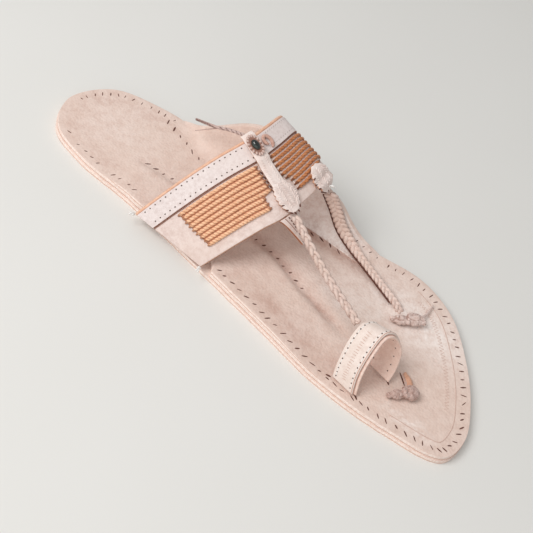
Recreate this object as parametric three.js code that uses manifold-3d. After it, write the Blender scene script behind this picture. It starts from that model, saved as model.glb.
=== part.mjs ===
import * as THREE from "three";
import Module from "manifold-3d";

// A left kolhapuri sandal in undyed leather. Millimetres: +X to the toe, +Y to the outer side, +Z up.

// Driving sizes of the sole
const LENGTH = 290;
const BALL_WIDTH = 102;
const HEEL_X = -148.3;
const OUTSOLE_T = 2.6;
const INSOLE_T = 2.7;
const GAP = 0.3;
const OUTSOLE_EDGE = 0;
const INSOLE_EDGE = 0.5;
const FLOOR_TOP = OUTSOLE_T + GAP + INSOLE_T;

// Driving sizes of the upper
const BAND_T = 2.4;
const BAND_LENGTH = 142;
const STRIP_T = 1.2;
const STRIP_SHARE = 0.275;
const EAR_T = 2.2;
const ROWS = 9;
const ROWS_FROM = 0.3;
const ROWS_TO = 0.865;
const ROW_RISE = 1.4;
const PLAIT_LIFT = 0.3;
const STRAP_BACK = 0.488;
const STRAP_FRONT = 0.52;
const STRAP_WIDTH = 6.8;
const STRAP_T = 1.8;
const BRAID_WIDTH = 7.4;
const BRAID_T = 3.6;
const BRAID_PITCH = 6.4;
const BRAID_LEAN = 0.8;
const LOOP_T = 2.8;

// Relief of the insole over the feet of the ears
const MEDIAL_RISE = 1.8;
const LATERAL_RISE = 3.6;

// Colours of the leathers
const PALE = { color: "#e3d0c2", roughness: 0.7, metalness: 0 };
const EDGE = { color: "#cfa98f", roughness: 0.75, metalness: 0 };
const PLAIT = { color: "#c98247", roughness: 0.65, metalness: 0 };
const STONE = { color: "#17201d", roughness: 0.15, metalness: 0 };

// Sole outline from the heel round the outer side to the toe and back: shares of length and ball width
const OUTLINE = [
  { t: 0.0, w: -0.049 },
  { t: 0.037, w: 0.211 },
  { t: 0.127, w: 0.324 },
  { t: 0.23, w: 0.363 },
  { t: 0.346, w: 0.335 },
  { t: 0.449, w: 0.328 },
  { t: 0.557, w: 0.38 },
  { t: 0.663, w: 0.454 },
  { t: 0.757, w: 0.495 },
  { t: 0.841, w: 0.418 },
  { t: 0.916, w: 0.216 },
  { t: 0.971, w: -0.012 },
  { t: 0.999, w: -0.221 },
  { t: 0.987, w: -0.397 },
  { t: 0.877, w: -0.483 },
  { t: 0.734, w: -0.506 },
  { t: 0.593, w: -0.456 },
  { t: 0.453, w: -0.407 },
  { t: 0.35, w: -0.371 },
  { t: 0.234, w: -0.341 },
  { t: 0.126, w: -0.333 },
  { t: 0.037, w: -0.255 },
];

// Where the insole folds over the feet of the ears: along x, the y of the inner and the outer crease
const CREASES = [
  { x: -90, medial: -8, lateral: 26 },
  { x: -70, medial: -6, lateral: 20.4 },
  { x: -30, medial: -3.5, lateral: 22 },
  { x: 0, medial: -2.8, lateral: 27.6 },
  { x: 26, medial: -10, lateral: 29.5 },
  { x: 60, medial: -17, lateral: 30 },
];

// Instep band, a section at each share of its length: its back edge and its front edge
const BAND = [
  { u: 0.0, bx: -65.8, by: -41.2, bz: 6, fx: -20.4, fy: -41.9, fz: 6 },
  { u: 0.12, bx: -60, by: -30.6, bz: 19.6, fx: -15.5, fy: -34.6, fz: 15.4 },
  { u: 0.24, bx: -54, by: -19, bz: 32.4, fx: -10.5, fy: -26.6, fz: 24.6 },
  { u: 0.36, bx: -48, by: -6.8, bz: 43.4, fx: -5.8, fy: -17.8, fz: 32.4 },
  { u: 0.48, bx: -42.2, by: 6, bz: 52, fx: -1.2, fy: -7.6, fz: 38.2 },
  { u: 0.6, bx: -40.8, by: 21.5, bz: 54.4, fx: 0, fy: 14, fz: 41.4 },
  { u: 0.7, bx: -41, by: 34.8, bz: 52.6, fx: -0.8, fy: 33.6, fz: 42.6 },
  { u: 0.8, bx: -41.6, by: 39, bz: 42, fx: 0.6, fy: 39.3, fz: 31 },
  { u: 0.93, bx: -42, by: 38.8, bz: 24, fx: 1, fy: 39.8, fz: 13 },
];

// Outer ear, a section at each x: the y and z of its upper edge
const OUTER_EAR = [
  { x: -92, y: 35.4, z: 6.4 },
  { x: -84, y: 35.8, z: 9.6 },
  { x: -75, y: 36, z: 17 },
  { x: -67, y: 36, z: 25 },
  { x: -59, y: 36, z: 32.5 },
  { x: -50, y: 36, z: 38.5 },
  { x: -38, y: 35.8, z: 42 },
  { x: -24, y: 35.6, z: 40 },
  { x: -10, y: 35.8, z: 35 },
  { x: 2, y: 36.4, z: 31.5 },
  { x: 11.5, y: 38, z: 27 },
  { x: 21.5, y: 40, z: 17.5 },
  { x: 30, y: 42, z: 11 },
  { x: 40, y: 44.4, z: 6.6 },
];

// Toe loop, a section along its arch: its back edge and its front edge
const LOOP = [
  { u: 0.0, bx: 69.4, by: -44.5, bz: 7, fx: 82.9, fy: -45.8, fz: 7 },
  { u: 0.15, bx: 67.3, by: -41, bz: 14.8, fx: 79.8, fy: -42.4, fz: 17.8 },
  { u: 0.32, bx: 65.3, by: -34.8, bz: 26, fx: 78.2, fy: -35, fz: 28.8 },
  { u: 0.45, bx: 65.4, by: -28.6, bz: 32, fx: 78.4, fy: -27.6, fz: 35 },
  { u: 0.56, bx: 68.6, by: -21.8, bz: 31, fx: 81.6, fy: -21.4, fz: 33.4 },
  { u: 0.68, bx: 73, by: -18, bz: 24, fx: 86.8, fy: -17.4, fz: 24.6 },
  { u: 0.85, bx: 76.6, by: -19, bz: 13.4, fx: 90.2, fy: -19.8, fz: 13 },
  { u: 1.0, bx: 77.5, by: -22.5, bz: 7, fx: 91.1, fy: -25, fz: 7 },
];

// Routes of the two braids from the band to the forefoot
const BRAID_TO_LOOP = [
  { x: 3.2, y: -5, z: 41 },
  { x: 32, y: -16, z: 34 },
  { x: 63.6, y: -28, z: 31.2 },
];
const BRAID_TO_SOLE = [
  { x: 5.6, y: 29, z: 36.4 },
  { x: 10.8, y: 33, z: 26.6 },
  { x: 18.8, y: 34.6, z: 15.8 },
  { x: 28.5, y: 34.6, z: 10.2 },
  { x: 39.1, y: 31.8, z: 8.3 },
  { x: 54.6, y: 26.5, z: 7.95 },
  { x: 70, y: 20.9, z: 7.9 },
];

// Route of the thong end behind the band
const THONG_ROUTE = [
  { x: -42.7, y: 7.6, z: 54 },
  { x: -56.5, y: 14, z: 43.6 },
  { x: -67.5, y: 20.5, z: 32.7 },
  { x: -83.6, y: 27, z: 21.5 },
];
const THONG_R = 1;

const wasm = await Module();
wasm.setup();

const mix = (a, b, t) => a + (b - a) * t;
const unit = (t) => Math.min(1, Math.max(0, t));
const ease = (t) => unit(t) ** 2 * (3 - 2 * unit(t));
const between = (x, a, b, c, d) => ease((x - a) / (b - a)) * (1 - ease((x - c) / (d - c)));

// A smooth curve through one column of a table whose rows are ordered by the key column
function column(rows, key, name) {
  const slope = (i) => {
    const a = rows[Math.max(0, i - 1)];
    const b = rows[Math.min(rows.length - 1, i + 1)];
    return (b[name] - a[name]) / (b[key] - a[key]);
  };
  return (at) => {
    let i = rows.findIndex((row) => row[key] >= at) - 1;
    if (i < 0) {
      i = at <= rows[0][key] ? 0 : rows.length - 2;
    }
    const [a, b] = [rows[i], rows[i + 1]];
    const span = b[key] - a[key];
    const t = (at - a[key]) / span;
    if (t < 0) {
      return a[name] + slope(i) * span * t;
    }
    if (t > 1) {
      return b[name] + slope(i + 1) * span * (t - 1);
    }
    const h = t * t * (3 - 2 * t);
    const bend = t * (1 - t) * span * (slope(i) * (1 - t) - slope(i + 1) * t);
    return mix(a[name], b[name], h) + bend;
  };
}

// A ruled surface between the back and the front edge of a table of sections
function ruled(rows) {
  const names = ["bx", "by", "bz", "fx", "fy", "fz"];
  const [bx, by, bz, fx, fy, fz] = names.map((name) => column(rows, "u", name));
  return (u, v) =>
    new THREE.Vector3(mix(bx(u), fx(u), v), mix(by(u), fy(u), v), mix(bz(u), fz(u), v));
}

// The unit normal of a surface, by small steps in both directions
function normalOf(surface, u, v) {
  const step = 1e-3;
  const along = surface(u + step, v).sub(surface(u - step, v));
  const across = surface(u, v + step).sub(surface(u, v - step));
  return across.cross(along).normalize();
}

// A closed solid from triangles, with coincident points joined and its faces turned outwards
function solidFrom(points, triangles) {
  const seen = new Map();
  const positions = [];
  const renumber = points.map((p) => {
    const key = [p.x, p.y, p.z].map((c) => Math.round(c * 2000)).join();
    if (!seen.has(key)) {
      seen.set(key, positions.length / 3);
      positions.push(p.x, p.y, p.z);
    }
    return seen.get(key);
  });
  let index = triangles.map((tri) => tri.map((i) => renumber[i]));
  index = index.filter(([a, b, c]) => a !== b && b !== c && c !== a);
  const corner = (i) => new THREE.Vector3(...positions.slice(3 * i, 3 * i + 3));
  const volume = index.reduce((sum, [a, b, c]) => sum + corner(a).dot(corner(b).cross(corner(c))), 0);
  if (volume < 0) {
    index = index.map(([a, b, c]) => [a, c, b]);
  }
  const geometry = new THREE.BufferGeometry();
  geometry.setAttribute("position", new THREE.Float32BufferAttribute(positions, 3));
  geometry.setIndex(index.flat());
  return geometry;
}

// The triangles of a grid of rows and columns whose points start at a given number
function gridFaces(rows, columns, start, flip) {
  const faces = [];
  for (let i = 0; i + 1 < rows; i += 1) {
    for (let j = 0; j + 1 < columns; j += 1) {
      const a = start + i * columns + j;
      const [b, c, d] = [a + 1, a + columns, a + columns + 1];
      faces.push(flip ? [a, c, b] : [a, b, c], flip ? [b, c, d] : [b, d, c]);
    }
  }
  return faces;
}

// A closed solid between two grids of the same size, walled along their borders
function slab(upper, lower) {
  const rows = upper.length;
  const columns = upper[0].length;
  const half = rows * columns;
  const faces = [...gridFaces(rows, columns, 0, false), ...gridFaces(rows, columns, half, true)];
  const border = [];
  for (let j = 0; j < columns - 1; j += 1) {
    border.push(j);
  }
  for (let i = 0; i < rows - 1; i += 1) {
    border.push(i * columns + columns - 1);
  }
  for (let j = columns - 1; j > 0; j -= 1) {
    border.push((rows - 1) * columns + j);
  }
  for (let i = rows - 1; i > 0; i -= 1) {
    border.push(i * columns);
  }
  border.forEach((a, k) => {
    const b = border[(k + 1) % border.length];
    faces.push([a, a + half, b], [b, a + half, b + half]);
  });
  return solidFrom([...upper.flat(), ...lower.flat()], faces);
}

const steps = (count) => Array.from({ length: count + 1 }, (_, i) => i / count);

// A sheet of leather on a surface, between two heights above it, over the unit square
function sheet(surface, low, high, along, across) {
  const raise = (height) =>
    along.map((a) =>
      across.map((b) => surface(a, b).addScaledVector(normalOf(surface, a, b), height(a, b))),
    );
  return slab(raise(high), raise(low));
}

// The sole outline as a closed curve, and the two sides of the section at any x
const outlinePoints = new THREE.CatmullRomCurve3(
  OUTLINE.map(({ t, w }) => new THREE.Vector3(HEEL_X + t * LENGTH, w * BALL_WIDTH, 0)),
  true,
).getPoints(660);
const heelTip = outlinePoints.reduce((a, b) => (b.x < a.x ? b : a));
const toeTip = outlinePoints.reduce((a, b) => (b.x > a.x ? b : a));

function sidesAt(x) {
  const hits = [];
  for (let i = 0; i + 1 < outlinePoints.length; i += 1) {
    const [p, q] = [outlinePoints[i], outlinePoints[i + 1]];
    if (p.x < x !== q.x < x) {
      hits.push(mix(p.y, q.y, (x - p.x) / (q.x - p.x)));
    }
  }
  if (hits.length === 0) {
    const tip = x < 0 ? heelTip.y : toeTip.y;
    return { medial: tip, lateral: tip };
  }
  return { medial: Math.min(...hits), lateral: Math.max(...hits) };
}

// A layer of the sole, set in from the outline, with a height for its lower and its upper face
function soleLayer(edge, notch, low, high, stations, columns) {
  const middle = (heelTip.x + toeTip.x) / 2;
  const reach = (toeTip.x - heelTip.x) / 2;
  const face = (height) =>
    steps(stations).map((s) => {
      const share = -Math.cos(s * Math.PI);
      const sides = sidesAt(middle + reach * share);
      const x = middle + (reach - edge) * share;
      const tip = s === 0 || s === 1;
      const span = Math.max(0, sides.lateral - sides.medial - 2 * edge);
      const from = tip ? sides.medial : sides.medial + edge + notch.medial(x);
      const to = tip ? sides.lateral : Math.max(from, from + span - notch.medial(x) - notch.lateral(x));
      return steps(columns).map((c) => {
        const y = mix(from, to, c);
        return new THREE.Vector3(x, y, height(x, y));
      });
    });
  return slab(face(high), face(low));
}

// The insole is cut back where an ear comes up beside it, and it rises over the foot of each ear
const medialCrease = column(CREASES, "x", "medial");
const lateralCrease = column(CREASES, "x", "lateral");
const cutBack = {
  medial: (x) => 7.4 * between(x, -67, -57, -19, -14),
  lateral: (x) => 3.9 * between(x, -98, -86, 34, 44),
};

function insoleTop(x, y) {
  const medial = ease((medialCrease(x) - y) / 6) * between(x, -96, -82, 30, 72);
  const lateral = ease((y - lateralCrease(x)) / 9) * between(x, -98, -72, 10, 42);
  return FLOOR_TOP + MEDIAL_RISE * medial + LATERAL_RISE * lateral;
}

const whole = { medial: () => 0, lateral: () => 0 };
const outsole = soleLayer(OUTSOLE_EDGE, whole, () => 0, () => OUTSOLE_T, 44, 1);
const insole = soleLayer(INSOLE_EDGE, cutBack, () => OUTSOLE_T + GAP, insoleTop, 42, 11);

// The instep band and what lies on it
const bandSurface = ruled(BAND);
const bandSteps = steps(30).map((s) => s * 0.93);
const halfBand = BAND_T / 2;
const band = sheet(bandSurface, () => -halfBand, () => halfBand, bandSteps, steps(5));

const stripLow = halfBand + GAP;
const edgeStrip = sheet(
  bandSurface,
  () => stripLow,
  () => stripLow + STRIP_T,
  bandSteps,
  steps(2).map((s) => s * STRIP_SHARE),
);

// Rows of fine plait side by side: each row is a rounded rib on one thin backing
const RIB = [
  { at: 0, rise: 0.3 },
  { at: 0.25, rise: 1 },
  { at: 0.75, rise: 1 },
];
const ribs = [];
for (let row = 0; row < ROWS; row += 1) {
  ribs.push(...RIB.map(({ at, rise }) => ({ at: (row + at) / ROWS, rise })));
}
ribs.push({ at: 1, rise: RIB[0].rise });
const ribRise = column(ribs, "at", "rise");

function plaitPanel(from, to, count) {
  const surface = (a, b) => bandSurface(mix(from(b), to(b), a), mix(ROWS_FROM, ROWS_TO, b));
  const low = () => stripLow + PLAIT_LIFT;
  const high = (a, b) => low() + ROW_RISE * ribRise(b);
  return sheet(surface, low, high, steps(count), ribs.map(({ at }) => at));
}

const strapAt = (v) => mix(STRAP_BACK, STRAP_FRONT, unit(v));
const strapSide = STRAP_WIDTH / 2 / BAND_LENGTH + 0.005;
const rowsAt = (b) => mix(ROWS_FROM, ROWS_TO, b);
const innerEnd = (b) => strapAt(rowsAt(b)) - strapSide - 0.04 * ease((b - 0.64) / 0.05);
const outerStart = (b) => strapAt(rowsAt(b)) + strapSide + 0.02 * ease((b - 0.5) / 0.2);
const outerEnd = (b) => mix(0.755, 0.655, ease((b - 0.72) / 0.2));
const plaitInner = plaitPanel(() => 0.105, innerEnd, 7);
const plaitOuter = plaitPanel(outerStart, outerEnd, 13);

// A strap across the band whose half width follows a function of its length, at a height above the band
function strapOnBand({ centre, from, to, halfWidth, low, thick, count }) {
  const surface = (a, b) => bandSurface(centre(a) - (b * halfWidth(a)) / BAND_LENGTH, mix(from, to, a));
  return sheet(surface, low, (a, b) => low(a, b) + thick, steps(count), [-1, -0.5, 0, 0.5, 1]);
}

// A tab with a scalloped rim: the half width of an oval with teeth, along its share of length
function scalloped(share, half, teeth) {
  const oval = Math.sqrt(Math.max(0.04, 1 - (2 * share - 1) ** 2));
  return half * oval * (1 + 0.09 * Math.cos(2 * Math.PI * teeth * share));
}

// The centre strap passes the back edge of the band and ends in a scalloped tab at the front edge
const STRAP_FROM = -0.06;
const STRAP_TO = 1.03;
const TAB_FROM = 0.6;
const TAB_HALF = 5.7;
const strapV = (a) => mix(STRAP_FROM, STRAP_TO, a);

function strapHalfWidth(a) {
  const share = (strapV(a) - TAB_FROM) / (STRAP_TO - TAB_FROM);
  if (share < 0) {
    return STRAP_WIDTH / 2;
  }
  return Math.max(scalloped(share, TAB_HALF, 5), share < 0.5 ? STRAP_WIDTH / 2 : 0);
}

const centreStrap = strapOnBand({
  centre: (a) => strapAt(strapV(a)),
  from: STRAP_FROM,
  to: STRAP_TO,
  halfWidth: strapHalfWidth,
  low: (a) => stripLow + (STRIP_T + GAP) * (1 - ease((strapV(a) - STRIP_SHARE) / 0.12)),
  thick: STRAP_T,
  count: 36,
});

// The outer tab starts on the plait, passes the front edge of the band and hangs over it
const OUTER_TAB_FROM = 0.76;
const OUTER_TAB_TO = 1.12;
const outerTab = strapOnBand({
  centre: (a) => mix(0.644, 0.658, a),
  from: OUTER_TAB_FROM,
  to: OUTER_TAB_TO,
  halfWidth: (a) => scalloped(a, 4.7, 5),
  low: (a) => {
    const v = mix(OUTER_TAB_FROM, OUTER_TAB_TO, a);
    const onPlait = (PLAIT_LIFT + ROW_RISE) * (1 - ease((v - ROWS_TO) / 0.1));
    return stripLow + GAP + onPlait - 5 * ease((v - 1.02) / 0.13);
  },
  thick: STRAP_T,
  count: 22,
});

// Points of the band's own frame: a place on the band, raised, and its two directions
function seat(u, v, height) {
  const normal = normalOf(bandSurface, u, v);
  const along = bandSurface(u + 1e-3, v).sub(bandSurface(u - 1e-3, v)).normalize();
  const across = normal.clone().cross(along);
  return { at: bandSurface(u, v).addScaledVector(normal, height), along, across, normal };
}

// A low dome over a closed rim given in the band's frame, with a flat back
function dome(frame, rim, rise, sides) {
  const place = (angle, share, height) => {
    const r = rim(angle) * share;
    return frame.at
      .clone()
      .addScaledVector(frame.along, r * Math.cos(angle))
      .addScaledVector(frame.across, r * Math.sin(angle))
      .addScaledVector(frame.normal, height);
  };
  const turns = steps(sides).map((s) => s * 2 * Math.PI);
  const rings = rise.map(({ share, height }) => turns.map((angle) => place(angle, share, height)));
  const points = rings.flat();
  return solidFrom(points, gridFaces(rings.length, turns.length, 0, false));
}

const ovalRim = (long, short, turn) => (angle) => {
  const [c, s] = [Math.cos(angle - turn), Math.sin(angle - turn)];
  return 1 / Math.sqrt((c / long) ** 2 + (s / short) ** 2);
};

// The head of the strap: a scalloped oval with a dark oval stone
const ROSETTE_V = 0.12;
const STRAP_TOP = stripLow + STRIP_T + GAP + STRAP_T;
const rosetteSeat = seat(strapAt(ROSETTE_V), ROSETTE_V, STRAP_TOP + GAP);
const rosetteOval = ovalRim(4.6, 7.6, 0);
const rosette = dome(
  rosetteSeat,
  (angle) => rosetteOval(angle) * (1 + 0.07 * Math.cos(14 * angle)),
  [
    { share: 0, height: 0 },
    { share: 1, height: 0 },
    { share: 1, height: 0.9 },
    { share: 0.7, height: 1.5 },
    { share: 0, height: 1.5 },
  ],
  56,
);
const stone = dome(
  seat(strapAt(ROSETTE_V), ROSETTE_V, STRAP_TOP + GAP + 1.5 + GAP),
  ovalRim(2.4, 3.6, 0),
  [
    { share: 0, height: 0 },
    { share: 1, height: 0 },
    { share: 0.95, height: 1 },
    { share: 0.65, height: 1.9 },
    { share: 0, height: 2.3 },
  ],
  18,
);

// The curled ornament beside the head: two joined drops
function drop(u, v, size, turn) {
  const rim = (angle) => size * (1 + 0.25 * Math.cos(angle - turn));
  const rise = [
    { share: 0, height: 0 },
    { share: 1, height: 0 },
    { share: 0.85, height: 1.1 },
    { share: 0, height: 1.5 },
  ];
  return dome(seat(u, v, stripLow + STRIP_T + GAP), rim, rise, 14);
}

const toManifold = (geometry) =>
  new wasm.Manifold(
    new wasm.Mesh({
      numProp: 3,
      vertProperties: new Float32Array(geometry.getAttribute("position").array),
      triVerts: new Uint32Array(geometry.index.array),
    }),
  );

function joined(geometries) {
  const made = wasm.Manifold.union(geometries.map(toManifold)).getMesh();
  const points = [];
  for (let i = 0; i < made.vertProperties.length; i += made.numProp) {
    points.push(new THREE.Vector3(...made.vertProperties.slice(i, i + 3)));
  }
  const faces = [];
  for (let i = 0; i < made.triVerts.length; i += 3) {
    faces.push([...made.triVerts.slice(i, i + 3)]);
  }
  return solidFrom(points, faces);
}

const curl = joined([drop(0.545, 0.1, 2.8, 2.4), drop(0.552, 0.2, 2.6, -0.6)]);

// The two ears, each from its foot beside the insole up to its edge
function earSection(foot, belly, top) {
  return (w) =>
    new THREE.Vector2(
      mix(mix(foot.x, belly.x, w), mix(belly.x, top.x, w), w),
      mix(mix(foot.y, belly.y, w), mix(belly.y, top.y, w), w),
    );
}

const outerY = column(OUTER_EAR, "x", "y");
const outerZ = column(OUTER_EAR, "x", "z");
const EAR_FOOT_Z = OUTSOLE_T + GAP + EAR_T / 2 + 0.1;
const outerEarSurface = (a, w) => {
  const x = mix(OUTER_EAR[0].x, OUTER_EAR.at(-1).x, a);
  const edge = sidesAt(x).lateral;
  const top = { x: outerY(x), y: outerZ(x) };
  const belly = { x: Math.max(edge + 1.2, top.x), y: EAR_FOOT_Z + 0.18 * (top.y - EAR_FOOT_Z) };
  const p = earSection({ x: edge - 2, y: EAR_FOOT_Z }, belly, top)(w);
  return new THREE.Vector3(x, p.x, p.y);
};
const halfEar = (a) => (EAR_T / 2) * mix(0.45, 1, ease(a / 0.1) * ease((1 - a) / 0.1));
const earOuter = sheet(outerEarSurface, (a) => -halfEar(a), halfEar, steps(30), steps(7));

const EAR_DEPTH = halfBand + GAP + EAR_T / 2;
const innerEarSurface = (w, v) => {
  const u = mix(0.032, 0.24, w);
  return bandSurface(u, v).addScaledVector(normalOf(bandSurface, u, v), -EAR_DEPTH);
};
const earInner = sheet(
  innerEarSurface,
  () => -EAR_T / 2,
  () => EAR_T / 2,
  steps(7),
  steps(3).map((s) => mix(0.1, 0.88, s)),
);

// The tongue under the first braid: the leather of the band runs on past its front edge, narrows and dips
const TONGUE_AT = 0.494;
const TONGUE_HALF = 0.046;
const TONGUE_FROM = 1.008;
const TONGUE_TO = 1.34;
const TONGUE_DIP = 7.4;
const TONGUE_LEAN = 0.042;
const tongueSurface = (a, b) => {
  const u = TONGUE_AT + TONGUE_LEAN * a - b * TONGUE_HALF * mix(1, 0.3, Math.sqrt(unit(a)));
  const at = bandSurface(u, mix(TONGUE_FROM, TONGUE_TO, a));
  at.z -= TONGUE_DIP * a ** 1.4;
  return at;
};
const tongue = sheet(tongueSurface, () => -1, () => 1, steps(8).map((s) => 0.004 + 0.996 * s), [-1, 0, 1]);

// A flat braid of three strands along a route, leaning inwards at its start: the strands show as waves
function braid(route, lean) {
  const curve = new THREE.CatmullRomCurve3(route.map(({ x, y, z }) => new THREE.Vector3(x, y, z)));
  const length = curve.getLength();
  const count = Math.round((4 * length) / BRAID_PITCH);
  const ring = [];
  const sides = 8;
  for (let k = 0; k < sides; k += 1) {
    ring.push((k / sides) * 2 * Math.PI);
  }
  const rows = steps(count).map((s) => {
    const at = curve.getPointAt(s);
    const tangent = curve.getTangentAt(s);
    const tilt = lean * ease(s / 0.2) * (1 - ease((s - 0.35) / 0.3));
    const up = new THREE.Vector3(0, -Math.sin(tilt), Math.cos(tilt));
    const side = up.clone().cross(tangent).normalize();
    const lift = tangent.clone().cross(side);
    const phase = (2 * Math.PI * s * length) / BRAID_PITCH;
    return ring.map((angle) => {
      const [c, n] = [Math.cos(angle), Math.sin(angle)];
      const wide = (BRAID_WIDTH / 2) * c * (1 + 0.1 * Math.cos(phase + (c > 0 ? 0 : Math.PI)));
      const tall = (BRAID_T / 2) * n * (1 + 0.14 * Math.cos(phase + 2.2 * c));
      return at.clone().addScaledVector(side, wide).addScaledVector(lift, tall);
    });
  });
  const faces = [];
  for (let i = 0; i < count; i += 1) {
    for (let k = 0; k < sides; k += 1) {
      const [a, b] = [i * sides + k, i * sides + ((k + 1) % sides)];
      faces.push([a, b, a + sides], [b, b + sides, a + sides]);
    }
  }
  const cap = (start, flip) => {
    for (let k = 1; k + 1 < sides; k += 1) {
      faces.push(flip ? [start, start + k + 1, start + k] : [start, start + k, start + k + 1]);
    }
  };
  cap(0, true);
  cap(count * sides, false);
  return solidFrom(rows.flat(), faces);
}

// The toe loop
const loopSurface = ruled(LOOP);
const toeLoop = sheet(loopSurface, () => -LOOP_T / 2, () => LOOP_T / 2, steps(26), steps(3));

// Knots on the forefoot: a lobe on each side of a wrap, and a flat end
function lobe({ x, y, z, long, wide, tall, turn }) {
  const ball = new THREE.SphereGeometry(1, 12, 8);
  ball.scale(long, wide, tall);
  ball.rotateZ(turn);
  ball.translate(x, y, z);
  const points = [];
  const position = ball.getAttribute("position");
  for (let i = 0; i < position.count; i += 1) {
    points.push(new THREE.Vector3().fromBufferAttribute(position, i));
  }
  const faces = [];
  for (let i = 0; i < ball.index.count; i += 3) {
    faces.push([ball.index.getX(i), ball.index.getX(i + 1), ball.index.getX(i + 2)]);
  }
  return solidFrom(points, faces);
}

const OUTER_KNOT = [
  { x: 76.4, y: 13.6, z: 8.4, long: 4.2, wide: 3.2, tall: 2.4, turn: 0.7 },
  { x: 82, y: 19.4, z: 9, long: 5.6, wide: 4, tall: 3, turn: 0.7 },
  { x: 84.6, y: 30, z: 7.4, long: 9, wide: 1, tall: 1, turn: 1.62 },
];
const FRONT_KNOT = [
  { x: 100, y: -29, z: 8.2, long: 4.2, wide: 2.8, tall: 2.2, turn: 0.9 },
  { x: 105, y: -23, z: 8.8, long: 4.8, wide: 4.4, tall: 2.8, turn: 0.9 },
  { x: 99, y: -16.4, z: 7.4, long: 5.4, wide: 2.2, tall: 1.3, turn: 2.2 },
];
const knotOuter = joined(OUTER_KNOT.map(lobe));
const knotFront = joined(FRONT_KNOT.map(lobe));

// The thong end: a plain tube along its route
function tube(route, radius, sides) {
  const curve = new THREE.CatmullRomCurve3(route.map(({ x, y, z }) => new THREE.Vector3(x, y, z)));
  const shape = new THREE.Shape();
  for (let k = 0; k < sides; k += 1) {
    const angle = (k / sides) * 2 * Math.PI;
    const place = k === 0 ? "moveTo" : "lineTo";
    shape[place](radius * Math.cos(angle), radius * Math.sin(angle));
  }
  shape.closePath();
  return new THREE.ExtrudeGeometry(shape, { steps: 12, extrudePath: curve, curveSegments: 1 });
}

// The sandal: each piece by name, with its leather
const PIECES = [
  ["outsole", outsole, EDGE],
  ["insole", insole, PALE],
  ["ear_outer", earOuter, PALE],
  ["ear_inner", earInner, PALE],
  ["band", band, PALE],
  ["edge_strip", edgeStrip, PALE],
  ["plait_inner", plaitInner, PLAIT],
  ["plait_outer", plaitOuter, PLAIT],
  ["centre_strap", centreStrap, PALE],
  ["outer_tab", outerTab, PALE],
  ["rosette", rosette, EDGE],
  ["stone", stone, STONE],
  ["curl", curl, EDGE],
  ["tongue", tongue, PALE],
  ["braid_loop", braid(BRAID_TO_LOOP, 0), PALE],
  ["braid_outer", braid(BRAID_TO_SOLE, BRAID_LEAN), PALE],
  ["toe_loop", toeLoop, PALE],
  ["knot_outer", knotOuter, EDGE],
  ["knot_front", knotFront, EDGE],
  ["thong_end", tube(THONG_ROUTE, THONG_R, 8), EDGE],
];

const sandal = new THREE.Group();
sandal.name = "kolhapuri_sandal";
for (const [name, geometry, finish] of PIECES) {
  const mesh = new THREE.Mesh(geometry, new THREE.MeshStandardMaterial(finish));
  mesh.name = name;
  sandal.add(mesh);
}

// The origin goes to the bottom centre of the sandal's box
const box = new THREE.Box3().setFromObject(sandal, true);
const centre = box.getCenter(new THREE.Vector3());
sandal.children.forEach((mesh) => mesh.position.set(-centre.x, -centre.y, -box.min.z));

export default sandal;
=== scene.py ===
"""A left kolhapuri sandal in undyed leather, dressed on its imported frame."""

import logging
import math
from dataclasses import dataclass
from enum import Enum
from typing import Callable, Iterable, NamedTuple, Sequence

import bpy
import numpy as np
from mathutils import Matrix, Vector, noise


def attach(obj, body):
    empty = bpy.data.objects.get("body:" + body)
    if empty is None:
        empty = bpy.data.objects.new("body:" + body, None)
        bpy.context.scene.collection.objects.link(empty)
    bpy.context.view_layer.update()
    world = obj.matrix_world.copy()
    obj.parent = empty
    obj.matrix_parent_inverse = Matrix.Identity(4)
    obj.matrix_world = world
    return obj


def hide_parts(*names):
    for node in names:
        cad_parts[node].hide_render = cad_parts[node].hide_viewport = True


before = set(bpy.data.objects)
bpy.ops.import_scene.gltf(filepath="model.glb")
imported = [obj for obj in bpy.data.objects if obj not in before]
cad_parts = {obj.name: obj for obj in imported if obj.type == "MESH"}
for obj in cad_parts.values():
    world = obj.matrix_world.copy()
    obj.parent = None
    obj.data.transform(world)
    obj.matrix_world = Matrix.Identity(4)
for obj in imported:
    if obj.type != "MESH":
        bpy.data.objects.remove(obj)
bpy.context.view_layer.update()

log = logging.getLogger("sandal")

MM = 0.001
SHIFT = Vector((3.329, 0.610, 0.0))
UP = Vector((0.0, 0.0, 1.0))
PICTURE = 533.0
SENSOR = 36.0

Piece = bpy.types.Object
Tree = bpy.types.NodeTree
Node = bpy.types.Node
Socket = bpy.types.NodeSocket
Pair = tuple[float, float]
Tone = tuple[int, int, int]
Curve = Callable[[float], float]
Place = Callable[[float, float], Vector]
Ring = Callable[[int, float], Pair]
Amount = Callable[[Vector], float]


class Slot(Enum):
    """The record's material slots."""

    PALE = "pale_leather"
    SOLE = "sole_leather"
    PLAIT = "plait_leather"
    THONG = "thong_leather"
    STONE = "stone"


class WearAndLight(Enum):
    """What each point attribute marks: one darkens for dirt and painted shade, the other pales for leather paled by
    rubbing and for painted light.
    """

    SOIL = "soil_and_shade"
    SCUFF = "scuff_and_light"


class Frame(NamedTuple):
    """A place with its three directions."""

    centre: Vector
    ahead: Vector
    side: Vector
    lift: Vector


class Section(NamedTuple):
    """A section of a strap: its share of the length, its back edge and its front edge."""

    u: float
    bx: float
    by: float
    bz: float
    fx: float
    fy: float
    fz: float


class Rise(NamedTuple):
    """A station of the outer ear: the height and side of its upper edge."""

    x: float
    y: float
    z: float


class Crease(NamedTuple):
    """A station of the two creases in the insole."""

    x: float
    medial: float
    lateral: float


class Lobe(NamedTuple):
    """One lump of a knot."""

    x: float
    y: float
    z: float
    long: float
    wide: float
    tall: float
    turn: float


class Grain(NamedTuple):
    """A small form to copy: faces round it, faces from pole to pole, share of its lower half."""

    sides: int
    rings: int
    flat: float


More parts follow.
